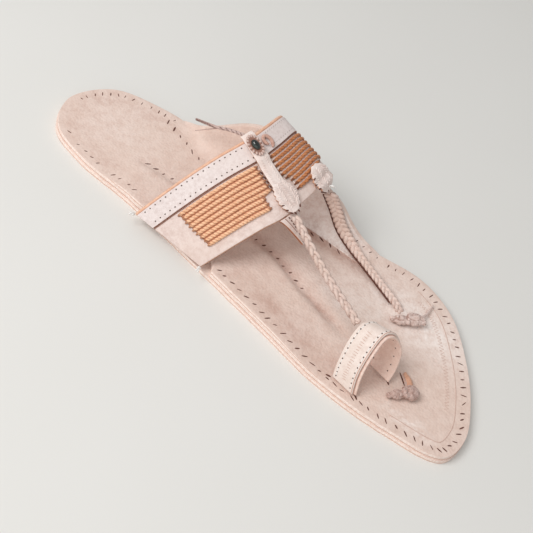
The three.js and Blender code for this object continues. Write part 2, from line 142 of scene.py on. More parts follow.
class ScuffAndHighlight(NamedTuple):
    """A pale place on the insole, partly wear from rubbing and partly painted highlight: its middle, half sizes,
    strength and unevenness.
    """

    x: float
    y: float
    long: float
    wide: float
    most: float
    rough: float


# Shares of length and ball width round the sole, from the heel by the outer side
OUTLINE = (
    (0.0, -0.049), (0.037, 0.211), (0.127, 0.324), (0.23, 0.363), (0.346, 0.335), (0.449, 0.328),
    (0.557, 0.38), (0.663, 0.454), (0.757, 0.495), (0.841, 0.418), (0.916, 0.216), (0.971, -0.012),
    (0.999, -0.221), (0.987, -0.397), (0.877, -0.483), (0.734, -0.506), (0.593, -0.456),
    (0.453, -0.407), (0.35, -0.371), (0.234, -0.341), (0.126, -0.333), (0.037, -0.255),
)
CREASES = (
    Crease(-90, -8, 26), Crease(-70, -6, 20.4), Crease(-30, -3.5, 22),
    Crease(0, -2.8, 27.6), Crease(26, -10, 29.5), Crease(60, -17, 30),
)
# Pale places on the insole: partly wear from rubbing, partly painted highlight.
SCUFFS_AND_HIGHLIGHTS = (
    ScuffAndHighlight(-110, 2, 22, 16, 0.2, 0.4), ScuffAndHighlight(48, 2, 20, 9, 0.34, 0.3),
    ScuffAndHighlight(86, 22, 36, 16, 0.85, 0.25), ScuffAndHighlight(114, -37, 13, 4.5, 0.75, 1.0),
    ScuffAndHighlight(60, -24, 16, 6, 0.12, 0.5), ScuffAndHighlight(-52, 12, 14, 8, 0.2, 0.5),
)
BAND = (
    Section(0.0, -65.8, -41.2, 6, -20.4, -41.9, 6),
    Section(0.12, -60, -30.6, 19.6, -15.5, -34.6, 15.4),
    Section(0.24, -54, -19, 32.4, -10.5, -26.6, 24.6),
    Section(0.36, -48, -6.8, 43.4, -5.8, -17.8, 32.4),
    Section(0.48, -42.2, 6, 52, -1.2, -7.6, 38.2),
    Section(0.6, -40.8, 21.5, 54.4, 0, 14, 41.4),
    Section(0.7, -41, 34.8, 52.6, -0.8, 33.6, 42.6),
    Section(0.8, -41.6, 39, 42, 0.6, 39.3, 31),
    Section(0.93, -42, 38.8, 24, 1, 39.8, 13),
)
OUTER_EAR = (
    Rise(-92, 35.4, 6.4), Rise(-84, 35.8, 9.6), Rise(-75, 36, 17), Rise(-67, 36, 25),
    Rise(-59, 36, 32.5), Rise(-50, 36, 38.5), Rise(-38, 35.8, 42), Rise(-24, 35.6, 40),
    Rise(-10, 35.8, 35), Rise(2, 36.4, 31.5), Rise(11.5, 38, 27), Rise(21.5, 40, 17.5),
    Rise(30, 42, 11), Rise(40, 44.4, 6.6),
)
LOOP = (
    Section(0.0, 69.4, -44.5, 7, 82.9, -45.8, 7),
    Section(0.15, 67.3, -41, 14.8, 79.8, -42.4, 17.8),
    Section(0.32, 65.3, -34.8, 26, 78.2, -35, 28.8),
    Section(0.45, 65.4, -28.6, 32, 78.4, -27.6, 35),
    Section(0.56, 68.6, -21.8, 31, 81.6, -21.4, 33.4),
    Section(0.68, 73, -18, 24, 86.8, -17.4, 24.6),
    Section(0.85, 76.6, -19, 13.4, 90.2, -19.8, 13),
    Section(1.0, 77.5, -22.5, 7, 91.1, -25, 7),
)
BRAID_TO_LOOP = ((3.2, -5, 41), (32, -16, 34), (63.6, -28, 31.2))
BRAID_TO_SOLE = (
    (5.6, 29, 36.4), (10.8, 33, 26.6), (18.8, 34.6, 15.8), (28.5, 34.6, 10.2),
    (39.1, 31.8, 8.3), (54.6, 26.5, 7.95), (70, 20.9, 7.5), (74, 19.5, 5.4),
)
THONG_ROUTE = ((-42.7, 7.6, 54), (-56.5, 14, 43.6), (-67.5, 20.5, 32.7), (-83.6, 27, 21.5))
# Each knot's two lumps, then the turns of thong over them
OUTER_KNOT = (
    Lobe(76.4, 13.6, 8.4, 4.2, 3.2, 2.4, 0.7),
    Lobe(82, 19.4, 9, 5.6, 4, 3, 0.7),
    Lobe(79.2, 16.6, 9.4, 1.6, 4.0, 2.3, 0.5),
    Lobe(72.9, 10.8, 8.0, 2.0, 1.9, 1.5, 0.4),
    Lobe(85.6, 21.6, 9.4, 1.7, 3.2, 2.0, 1.2),
)
FRONT_KNOT = (
    Lobe(100, -29, 8.2, 4.2, 2.8, 2.2, 0.9),
    Lobe(105, -23, 8.8, 4.8, 4.4, 2.8, 0.9),
    Lobe(102.6, -26, 9.4, 1.5, 3.4, 2.1, 0.9),
    Lobe(97.4, -32.0, 7.8, 1.9, 1.9, 1.5, 0.6),
)
CUT = Grain(10, 6, 0.2)
STITCH = Grain(8, 5, 0.3)
PLEAT = Grain(10, 7, 0.5)
KNOT_TAIL = ((84.4, 22.6, 9.4), (84.8, 30, 7.4), (84.2, 38.6, 7.0))


def mix(a: float, b: float, t: float) -> float:
    """A value between a and b."""
    return a + (b - a) * t


def unit(t: float) -> float:
    """A value kept between nothing and one."""
    return min(1.0, max(0.0, t))


def ease(t: float) -> float:
    """A smooth step from nothing to one."""
    t = unit(t)
    return t * t * (3 - 2 * t)


def bell(t: float) -> float:
    """One at nothing, falling away on both sides."""
    return math.exp(-(t ** 2))


def oval(wide: float, tall: float, angle: float) -> Pair:
    """A point of an oval ring: its offsets to the side and up."""
    return wide * math.cos(angle), tall * math.sin(angle)


def window(x: float, a: float, b: float, c: float, d: float) -> float:
    """One between b and c, nothing outside a and d, smooth between."""
    return ease((x - a) / (b - a)) * (1 - ease((x - c) / (d - c)))


def jitter(n: int, salt: int = 0) -> float:
    """A repeatable unevenness of hand work, from -1 to 1."""
    return 2 * ((math.sin(n * 12.9898 + salt * 78.233) * 43758.5453) % 1.0) - 1


def linear(red: int, green: int, blue: int) -> tuple[float, float, float, float]:
    """A colour as seen on a screen, as shader values.

    Args:
        red, green, blue: the colour in steps of 255.
    Returns:
        The colour in linear light, with full alpha.
    """

    def one(c: int) -> float:
        """One channel in linear light."""
        s = c / 255
        return s / 12.92 if s <= 0.04045 else ((s + 0.055) / 1.055) ** 2.4

    return (one(red), one(green), one(blue), 1.0)


def frames(path: Sequence[Vector], up: Callable[[int], Vector]) -> list[Frame]:
    """Frames along a row of points.

    Args:
        path: the points.
        up: which way is up at each point, by its number.
    Returns:
        A frame for each point.
    """
    last = len(path) - 1
    made = []
    for i, at in enumerate(path):
        ahead = (path[min(last, i + 1)] - path[max(0, i - 1)]).normalized()
        side = up(i).cross(ahead).normalized()
        made.append(Frame(at, ahead, side, ahead.cross(side)))
    return made


class Column:
    """A smooth curve through one column of a table."""

    def __init__(self, keys: Iterable[float], values: Iterable[float]) -> None:
        """Keeps where each row stands, rising, and the column's value there."""
        self.keys = list(keys)
        self.values = list(values)

    def slope(self, i: int) -> float:
        """The curve's slope at a row."""
        a, b = max(0, i - 1), min(len(self.keys) - 1, i + 1)
        return (self.values[b] - self.values[a]) / (self.keys[b] - self.keys[a])

    def __call__(self, at: float) -> float:
        """The value at a place, carried on straight past the ends.

        Args:
            at: the place, in the keys' units.
        Returns:
            The value.
        """
        last = len(self.keys) - 2
        i = 0
        while i < last and self.keys[i + 1] < at:
            i += 1
        span = self.keys[i + 1] - self.keys[i]
        t = (at - self.keys[i]) / span
        if t < 0:
            return self.values[i] + self.slope(i) * span * t
        if t > 1:
            return self.values[i + 1] + self.slope(i + 1) * span * (t - 1)
        bend = t * (1 - t) * span * (self.slope(i) * (1 - t) - self.slope(i + 1) * t)
        return mix(self.values[i], self.values[i + 1], ease(t)) + bend


class Ruled:
    """The middle surface of a strap between its back edge and its front edge."""

    def __init__(self, rows: Sequence[Section]) -> None:
        """Reads the table of sections.

        Args:
            rows: the sections, from one end of the strap to the other.
        """
        keys = [row.u for row in rows]
        names = ("bx", "by", "bz", "fx", "fy", "fz")
        self.columns = [Column(keys, [getattr(row, name) for row in rows]) for name in names]

    def point(self, u: float, v: float) -> Vector:
        """A place on the surface: u along the strap, v from back to front."""
        b = [column(u) for column in self.columns]
        return Vector((mix(b[0], b[3], v), mix(b[1], b[4], v), mix(b[2], b[5], v)))

    def seat(self, u: float, v: float, height: float = 0.0) -> Frame:
        """A place raised from the surface, with its directions.

        Args:
            u: share of the strap's length.
            v: share of its width, from back to front.
            height: how far above the middle surface, in millimetres.
        Returns:
            The place; ahead is along u, side along v, lift outwards.
        """
        e = 1e-3
        along = (self.point(u + e, v) - self.point(u - e, v)).normalized()
        across = self.point(u, v + e) - self.point(u, v - e)
        normal = across.cross(along).normalized()
        return Frame(self.point(u, v) + normal * height, along, along.cross(normal) * -1, normal)

    def raised(self, u: float, v: float, height: float) -> Vector:
        """A place raised from the surface."""
        return self.seat(u, v, height).centre


class Route:
    """A smooth line through a few points, measured along itself."""

    STEPS = 30

    def __init__(self, points: Sequence[Sequence[float]], closed: bool = False) -> None:
        """Runs the line.

        Args:
            points: the points that it passes.
            closed: whether it comes back to its start.
        """
        p = [Vector(q) for q in points]
        count = len(p) if closed else len(p) - 1
        self.line: list[Vector] = []
        for i in range(count):
            if closed:
                four = [p[(i + k - 1) % len(p)] for k in range(4)]
            else:
                before = p[i - 1] if i > 0 else 2 * p[0] - p[1]
                after = p[i + 2] if i + 2 < len(p) else 2 * p[-1] - p[-2]
                four = [before, p[i], p[i + 1], after]
            self.line += [self.bend(four, k / self.STEPS) for k in range(self.STEPS)]
        self.line.append(p[0].copy() if closed else p[-1].copy())
        self.marks = [0.0]
        for a, b in zip(self.line, self.line[1:]):
            self.marks.append(self.marks[-1] + (b - a).length)
        self.length = self.marks[-1]

    @staticmethod
    def bend(four: Sequence[Vector], t: float) -> Vector:
        """A place between the second and third of four points.

        Args:
            four: the points.
            t: the share of the way.
        Returns:
            The place.
        """
        a, b, c, d = four
        d0 = max(1e-4, math.sqrt((b - a).length))
        d1 = max(1e-4, math.sqrt((c - b).length))
        d2 = max(1e-4, math.sqrt((d - c).length))
        m1 = ((b - a) / d0 - (c - a) / (d0 + d1) + (c - b) / d1) * d1
        m2 = ((c - b) / d1 - (d - b) / (d1 + d2) + (d - c) / d2) * d1
        c2 = -3 * b + 3 * c - 2 * m1 - m2
        c3 = 2 * b - 2 * c + m1 + m2
        return b + m1 * t + c2 * t * t + c3 * t * t * t

    def at(self, share: float) -> Vector:
        """The place at a share of the length.

        Args:
            share: from nothing to one.
        Returns:
            The place.
        """
        want = unit(share) * self.length
        i = min(len(self.line) - 2, max(0, int(np.searchsorted(self.marks, want)) - 1))
        span = self.marks[i + 1] - self.marks[i]
        return self.line[i].lerp(self.line[i + 1], (want - self.marks[i]) / span if span else 0.0)

    def seat(self, share: float, up: Vector = UP) -> Frame:
        """The place at a share of the length, with its directions.

        Args:
            share: from nothing to one.
            up: which way is up there.
        Returns:
            The frame.
        """
        e = 0.5 / self.length
        ahead = (self.at(share + e) - self.at(share - e)).normalized()
        side = up.cross(ahead).normalized()
        return Frame(self.at(share), ahead, side, ahead.cross(side))

    def seats(self, count: int, up: Vector = UP) -> list[Frame]:
        """Frames at even steps from end to end."""
        return [self.seat(i / count, up) for i in range(count + 1)]


class Nodes:
    """Adds and joins nodes in one tree."""

    def __init__(self, tree: Tree) -> None:
        """Keeps the tree."""
        self.tree = tree

    def add(self, kind: str, **inputs: object) -> Node:
        """Adds a node of a kind and feeds it."""
        return self.feed(self.tree.nodes.new(kind), **inputs)

    def group(self, tree: Tree, **inputs: object) -> Node:
        """Places a node group and feeds it.

        Args:
            tree: the group.
            inputs: a value or an output socket for each named input.
        Returns:
            The node.
        """
        node = self.tree.nodes.new("ShaderNodeGroup")
        node.node_tree = tree
        return self.feed(node, **inputs)

    def feed(self, node: Node, **inputs: object) -> Node:
        """Fills or links a node's named inputs.

        Args:
            node: the node.
            inputs: a value or an output socket for each name, with _ for a space.
        Returns:
            The node.
        """
        for name, value in inputs.items():
            self.put(node.inputs[name.replace("_", " ")], value)
        return node

    def put(self, socket: Socket, value: object) -> None:
        """Sets a socket, or links it to an output.

        Args:
            socket: the input.
            value: a plain value or an output socket.
        """
        if isinstance(value, Socket):
            self.tree.links.new(value, socket)
        else:
            socket.default_value = value

    def maths(self, operation: str, a: object, b: object = 0.5, c: object = 0.5) -> Socket:
        """The result of one sum.

        Args:
            operation: the sum.
            a, b, c: its values or output sockets.
        Returns:
            The output socket.
        """
        node = self.tree.nodes.new("ShaderNodeMath")
        node.operation = operation
        for socket, value in zip(node.inputs, (a, b, c)):
            self.put(socket, value)
        return node.outputs[0]

    def blend(self, share: object, a: object, b: object) -> Socket:
        """A colour between two colours.

        Args:
            share: how much of the second.
            a, b: the colours.
        Returns:
            The output socket.
        """
        node = self.tree.nodes.new("ShaderNodeMix")
        node.data_type = "RGBA"
        self.put(node.inputs[0], share)
        self.put(node.inputs[6], a)
        self.put(node.inputs[7], b)
        return node.outputs[2]

    def spread(self, value: object, low: float, high: float, to: Pair = (0, 1)) -> Socket:
        """A value stretched from one range to another, and kept inside it.

        Args:
            value: the value or output socket.
            low, high: the range that it comes from.
            to: the range that it goes to.
        Returns:
            The output socket.
        """
        node = self.add(
            "ShaderNodeMapRange", Value=value, From_Min=low, From_Max=high, To_Min=to[0], To_Max=to[1]
        )
        node.interpolation_type = "SMOOTHSTEP"
        return node.outputs[0]

    def mark(self, wear: WearAndLight) -> Socket:
        """A piece's own attribute.

        Args:
            wear: which one.
        Returns:
            The output socket.
        """
        node = self.tree.nodes.new("ShaderNodeAttribute")
        node.attribute_name = wear.value
        return node.outputs["Fac"]


class Effect:
    """Node groups that several finishes share."""

    @staticmethod
    def start(
        name: str, inputs: Sequence[str], outputs: Sequence[str]
    ) -> tuple[Tree, Nodes, dict[str, Socket], Node]:
        """A new group with its sockets.

        Args:
            name: the group's name.
            inputs: its value inputs, after Vector.
            outputs: its value outputs.
        Returns:
            The tree, its node adder, its inputs by name and its output node.
        """
        tree = bpy.data.node_groups.new(name, "ShaderNodeTree")
        tree.interface.new_socket("Vector", in_out="INPUT", socket_type="NodeSocketVector")
        for socket in inputs:
            tree.interface.new_socket(socket, in_out="INPUT", socket_type="NodeSocketFloat")
        for socket in outputs:
            tree.interface.new_socket(socket, in_out="OUTPUT", socket_type="NodeSocketFloat")
        nodes = Nodes(tree)
        start = nodes.add("NodeGroupInput")
        end = nodes.add("NodeGroupOutput")
        return tree, nodes, {s.name: s for s in start.outputs if s.name}, end

    @classmethod
    def grain(cls) -> Tree:
        """Pores and folds of the hide: Height for bump, Tone for colour.

        Returns:
            The group, made at its first use.
        """
        name = "hide_grain"
        if name in bpy.data.node_groups:
            return bpy.data.node_groups[name]
        tree, n, given, end = cls.start(name, ("Pores", "Folds"), ("Height", "Tone"))
        warp = n.add("ShaderNodeTexNoise", Vector=given["Vector"], Scale=given["Folds"], Detail=5.0, Roughness=0.62)
        pores = n.add("ShaderNodeTexVoronoi", Vector=given["Vector"], Scale=given["Pores"])
        pores.feature = "SMOOTH_F1"
        fine = n.add("ShaderNodeTexNoise", Vector=given["Vector"], Scale=given["Pores"], Detail=3.0, Roughness=0.7)
        pits = n.spread(pores.outputs["Distance"], 0.1, 0.75)
        lumps = n.maths("MULTIPLY_ADD", warp.outputs[0], 0.8, n.maths("MULTIPLY", pits, 0.35))
        broad = n.maths("MULTIPLY", warp.outputs[0], 0.65)
        n.feed(
            end, Height=n.maths("ADD", lumps, n.maths("MULTIPLY", fine.outputs[0], 0.3)),
            Tone=n.maths("ADD", broad, n.maths("MULTIPLY", fine.outputs[0], 0.35)),
        )
        return tree

    @classmethod
    def stain(cls) -> Tree:
        """Broad uneven patches, as of tanning and handling: Patch and Fleck.

        Returns:
            The group, made at its first use.
        """
        name = "hide_stain"
        if name in bpy.data.node_groups:
            return bpy.data.node_groups[name]
        tree, n, given, end = cls.start(name, ("Scale",), ("Patch", "Fleck"))
        broad = n.add(
            "ShaderNodeTexNoise", Vector=given["Vector"], Scale=given["Scale"],
            Detail=4.0, Roughness=0.55, Distortion=0.6,
        )
        finer = n.maths("MULTIPLY", given["Scale"], 14.0)
        small = n.add("ShaderNodeTexNoise", Vector=given["Vector"], Scale=finer, Detail=2.0)
        n.feed(end, Patch=n.spread(broad.outputs[0], 0.38, 0.68), Fleck=n.spread(small.outputs[0], 0.62, 0.74))
        return tree

    @classmethod
    def layers(cls) -> Tree:
        """Lines along a cut edge of stacked leather: Line and Fibre.

        Returns:
            The group, made at its first use.
        """
        name = "cut_layers"
        if name in bpy.data.node_groups:
            return bpy.data.node_groups[name]
        tree, n, given, end = cls.start(name, ("Count",), ("Line", "Fibre"))
        apart = n.add("ShaderNodeSeparateXYZ", Vector=given["Vector"])
        wobble = n.add("ShaderNodeTexNoise", Vector=given["Vector"], Scale=90.0, Detail=2.0)
        sway = n.maths("MULTIPLY", wobble.outputs[0], 0.55)
        wave = n.maths("FRACT", n.maths("MULTIPLY_ADD", apart.outputs["Z"], given["Count"], sway))
        away = n.maths("ABSOLUTE", n.maths("SUBTRACT", wave, 0.5))
        fibre = n.add("ShaderNodeTexNoise", Vector=given["Vector"], Scale=900.0, Detail=3.0)
        n.feed(end, Line=n.spread(away, 0.14, 0.03), Fibre=fibre.outputs[0])
        return tree


@dataclass(frozen=True)
class Surface:
    """A finish that becomes one material."""

    name: str

    def material(self) -> bpy.types.Material:
        """The finish as a material.

        Returns:
            The material, made at its first use.
        """
        if self.name in bpy.data.materials:
            return bpy.data.materials[self.name]
        made = bpy.data.materials.new(self.name)
        made.use_nodes = True
        n = Nodes(made.node_tree)
        where = n.add("ShaderNodeTexCoord").outputs["Object"]
        self.paint(n, made.node_tree.nodes["Principled BSDF"], where)
        return made

    def paint(self, n: Nodes, shader: Node, where: Socket) -> None:
        """Feeds the shader; each kind of finish has its own way."""
        raise NotImplementedError


@dataclass(frozen=True)
class Leather(Surface):
    """A leather finish: its tones, its pores and its gloss."""

    light: Tone
    dark: Tone
    stain: Tone
    # Tone of dirt, also laid as painted shade; the next, of leather paled by rubbing, also laid as painted light.
    soil_and_shade: Tone
    scuffed_and_lit: Tone = (249, 238, 232)
    pores: float = 1500.0
    folds: float = 160.0
    patches: float = 26.0
    stain_share: float = 0.5
    fleck: float = 0.28
    bump: float = 0.16
    deep: float = 0.0005
    rough: float = 0.62
    sheen: float = 0.08

    def paint(self, n: Nodes, shader: Node, where: Socket) -> None:
        """Feeds the shader with grain, stains and dirt flecks, with darkening for dirt and painted shade, and with
        paling for rubbing and painted light.

        Args:
            n: adds nodes to the material.
            shader: its shader.
            where: Object coordinates.
        """
        grain = n.group(Effect.grain(), Vector=where, Pores=self.pores, Folds=self.folds)
        stain = n.group(Effect.stain(), Vector=where, Scale=self.patches)
        tone = grain.outputs["Tone"]
        colour = n.blend(n.spread(tone, 0.34, 0.62), linear(*self.dark), linear(*self.light))
        for share, shade in (
            (n.maths("MULTIPLY", stain.outputs["Patch"], self.stain_share), self.stain),
            (n.maths("MULTIPLY", stain.outputs["Fleck"], self.fleck), self.soil_and_shade),
            # Point darkening: dirt and painted shade. Point paling: wear from rubbing and painted light.
            (n.maths("MULTIPLY", n.mark(WearAndLight.SOIL), n.spread(tone, 0.3, 0.65, (1.25, 0.65))), self.soil_and_shade),
            (n.maths("MULTIPLY", n.mark(WearAndLight.SCUFF), n.spread(tone, 0.35, 0.6, (0.5, 1.2))), self.scuffed_and_lit),
        ):
            colour = n.blend(share, colour, linear(*shade))
        gloss = n.spread(tone, 0.3, 0.7, (self.rough + 0.1, self.rough - 0.06))
        bump = n.add("ShaderNodeBump", Height=grain.outputs["Height"], Strength=self.bump, Distance=self.deep)
        n.feed(
            shader, Base_Color=colour, Roughness=gloss, Normal=bump.outputs["Normal"],
            Specular_IOR_Level=0.32, Sheen_Weight=self.sheen, Sheen_Roughness=0.5,
        )


@dataclass(frozen=True)
class CutEdge(Surface):
    """The cut edge of leather: layers, fibres and a worn tan line."""

    body: Tone
    line: Tone
    count: float = 380.0
    bump: float = 0.4

    def paint(self, n: Nodes, shader: Node, where: Socket) -> None:
        """Feeds the shader with the layers and fibres of the cut.

        Args:
            n: adds nodes to the material.
            shader: its shader.
            where: Object coordinates.
        """
        layers = n.group(Effect.layers(), Vector=where, Count=self.count)
        line, fibre = layers.outputs["Line"], layers.outputs["Fibre"]
        colour = n.blend(n.maths("MULTIPLY", line, 0.75), linear(*self.body), linear(*self.line))
        colour = n.blend(n.spread(fibre, 0.35, 0.7, (0.0, 0.35)), colour, linear(*self.line))
        gloss = n.spread(fibre, 0.3, 0.7, (0.7, 0.9))
        height = n.maths("SUBTRACT", fibre, line)
        bump = n.add("ShaderNodeBump", Height=height, Strength=self.bump, Distance=0.0004)
        n.feed(
            shader, Base_Color=colour, Roughness=gloss, Normal=bump.outputs["Normal"],
            Specular_IOR_Level=0.25,
        )


@dataclass(frozen=True)
class Polish(Surface):
    """A hard polished bead."""

    deep: Tone
    glint: Tone
    clouds: float = 420.0

    def paint(self, n: Nodes, shader: Node, where: Socket) -> None:
        """Feeds the shader with the clouded stone and its polish.

        Args:
            n: adds nodes to the material.
            shader: its shader.
            where: Object coordinates.
        """
        patch = n.group(Effect.stain(), Vector=where, Scale=self.clouds).outputs["Patch"]
        colour = n.blend(patch, linear(*self.deep), linear(*self.glint))
        gloss = n.spread(patch, 0.0, 1.0, (0.1, 0.22))
        n.feed(shader, Base_Color=colour, Roughness=gloss, Coat_Weight=0.6, Coat_Roughness=0.05)


@dataclass(frozen=True)
class FloorPaint(Surface):
    """A plain pale floor, a little uneven."""

    low: Tone
    high: Tone
    clouds: float = 6.0

    def paint(self, n: Nodes, shader: Node, where: Socket) -> None:
        """Feeds the shader with two near tones.

        Args:
            n: adds nodes to the material.
            shader: its shader.
            where: Object coordinates.
        """
        cloud = n.add("ShaderNodeTexNoise", Vector=where, Scale=self.clouds, Detail=2.0)
        tone = n.blend(cloud.outputs[0], linear(*self.low), linear(*self.high))
        n.feed(shader, Base_Color=tone, Roughness=0.9)


class Finish(Enum):
    """Every finish of the sandal, and the floor's."""

    INSOLE = Leather(
        "insole_hide", (230, 208, 197), (218, 192, 180), (224, 199, 184), (164, 112, 93),
        stain_share=0.28, fleck=0.09, pores=760.0, folds=170.0, bump=0.48, deep=0.0007,
    )
    BAND = Leather(
        "band_hide", (229, 212, 205), (213, 192, 184), (221, 199, 188), (150, 105, 88),
        fleck=0.12, pores=900.0, folds=300.0, bump=0.28,
    )
    STRAP = Leather(
        "strap_hide", (240, 226, 220), (226, 208, 201), (232, 212, 203), (150, 105, 88),
        fleck=0.12, folds=300.0, bump=0.22,
    )
    STRIP = Leather(
        "strip_hide", (229, 217, 214), (213, 198, 194), (222, 206, 200), (150, 112, 100),
        fleck=0.12, pores=1900.0, folds=520.0, bump=0.3,
    )
    EAR = Leather(
        "ear_hide", (234, 215, 205), (214, 188, 177), (223, 198, 184), (150, 108, 94),
        fleck=0.1, folds=170.0, bump=0.2,
    )
    LOOP = Leather(
        "loop_hide", (236, 221, 213), (222, 203, 193), (227, 208, 197), (176, 128, 108),
        fleck=0.12, folds=380.0, bump=0.22,
    )
    # The lining's warmer, darker tones are partly painted shade inside the loop.
    LINING = Leather(
        "loop_lining", (240, 216, 205), (223, 192, 179), (229, 198, 182), (140, 92, 74),
        fleck=0.12, folds=420.0, bump=0.3, rough=0.74,
    )
    BRAID = Leather(
        "braid_hide", (236, 214, 204), (216, 188, 176), (224, 197, 182), (112, 68, 52),
        folds=500.0, bump=0.25,
    )
    CORD = Leather(
        "plait_cord", (248, 204, 168), (224, 162, 121), (240, 190, 150), (138, 76, 46),
        pores=2600.0, folds=900.0, bump=0.2, rough=0.5,
    )
    CORD_DEEP = Leather(
        "plait_cord_deep", (208, 138, 88), (172, 102, 60), (196, 126, 76), (88, 42, 22),
        pores=2600.0, folds=900.0, bump=0.2, rough=0.5,
    )
    # Dark ground under the inner cords: partly its own brown, partly painted shade between the cords.
    GROUND = Leather("plait_ground", (196, 140, 110), (160, 102, 74), (182, 122, 92), (84, 44, 30), folds=600.0)
    GROUND_PALE = Leather(
        "plait_ground_pale", (236, 220, 212), (214, 190, 178), (224, 198, 182), (110, 66, 48),
        folds=600.0,
    )
    SUEDE = Leather(
        "knot_suede", (228, 208, 201), (196, 170, 160), (210, 182, 170), (134, 84, 68),
        pores=1300.0, folds=520.0, bump=0.4, deep=0.0006, rough=0.8, sheen=0.15,
    )
    THONG = Leather(
        "thong_suede", (212, 190, 184), (172, 142, 133), (196, 166, 157), (92, 60, 52),
        pores=1400.0, folds=900.0, bump=0.5, rough=0.8,
    )
    TAN = Leather(
        "tan_thong", (220, 174, 148), (198, 146, 120), (208, 158, 130), (130, 78, 56),
        folds=500.0, bump=0.25,
    )
    EDGE_TAN = Leather(
        "edge_tan", (232, 190, 164), (214, 164, 135), (224, 176, 147), (140, 88, 62),
        folds=420.0, bump=0.25,
    )
    CURL = Leather(
        "curl_thong", (216, 176, 160), (180, 136, 120), (200, 156, 138), (96, 60, 50),
        folds=700.0, bump=0.35,
    )
    ORNAMENT = Leather(
        "ornament_hide", (222, 199, 191), (182, 152, 143), (202, 170, 157), (100, 68, 58),
        folds=800.0, bump=0.35, rough=0.5,
    )
    THREAD = Leather(
        "pale_thread", (246, 244, 242), (228, 224, 219), (238, 232, 226), (190, 176, 166),
        pores=3000.0, folds=1800.0, bump=0.4, rough=0.8,
    )
    GREY_THREAD = Leather(
        "grey_thread", (198, 188, 184), (168, 156, 152), (182, 170, 164), (120, 104, 96),
        pores=3000.0, folds=1800.0, bump=0.4, rough=0.8,
    )
    SLIT = Leather("slit_dark", (112, 68, 54), (72, 40, 32), (96, 56, 43), (56, 30, 24), folds=900.0, rough=0.85)
    PIN = Leather("pin_hole", (112, 92, 86), (78, 62, 57), (96, 76, 69), (52, 40, 36), folds=900.0, rough=0.85)
    SEAM = Leather("seam_brown", (166, 126, 112), (136, 96, 82), (152, 108, 92), (90, 58, 48), folds=700.0)
    TOOLED = Leather("tooled_line", (216, 189, 177), (199, 168, 155), (208, 177, 163), (160, 118, 103), folds=500.0)
    EDGE = CutEdge("sole_edge", (248, 232, 223), (206, 156, 132))
    RIM = CutEdge("strap_rim", (216, 172, 146), (188, 132, 104), count=700.0)
    RIM_TAN = CutEdge("strap_rim_tan", (186, 124, 92), (150, 88, 60), count=700.0)
    STONE = Polish("dark_stone", (14, 20, 18), (44, 58, 52))
    FLOOR = FloorPaint("floor_pale", (222, 221, 217), (227, 226, 223))


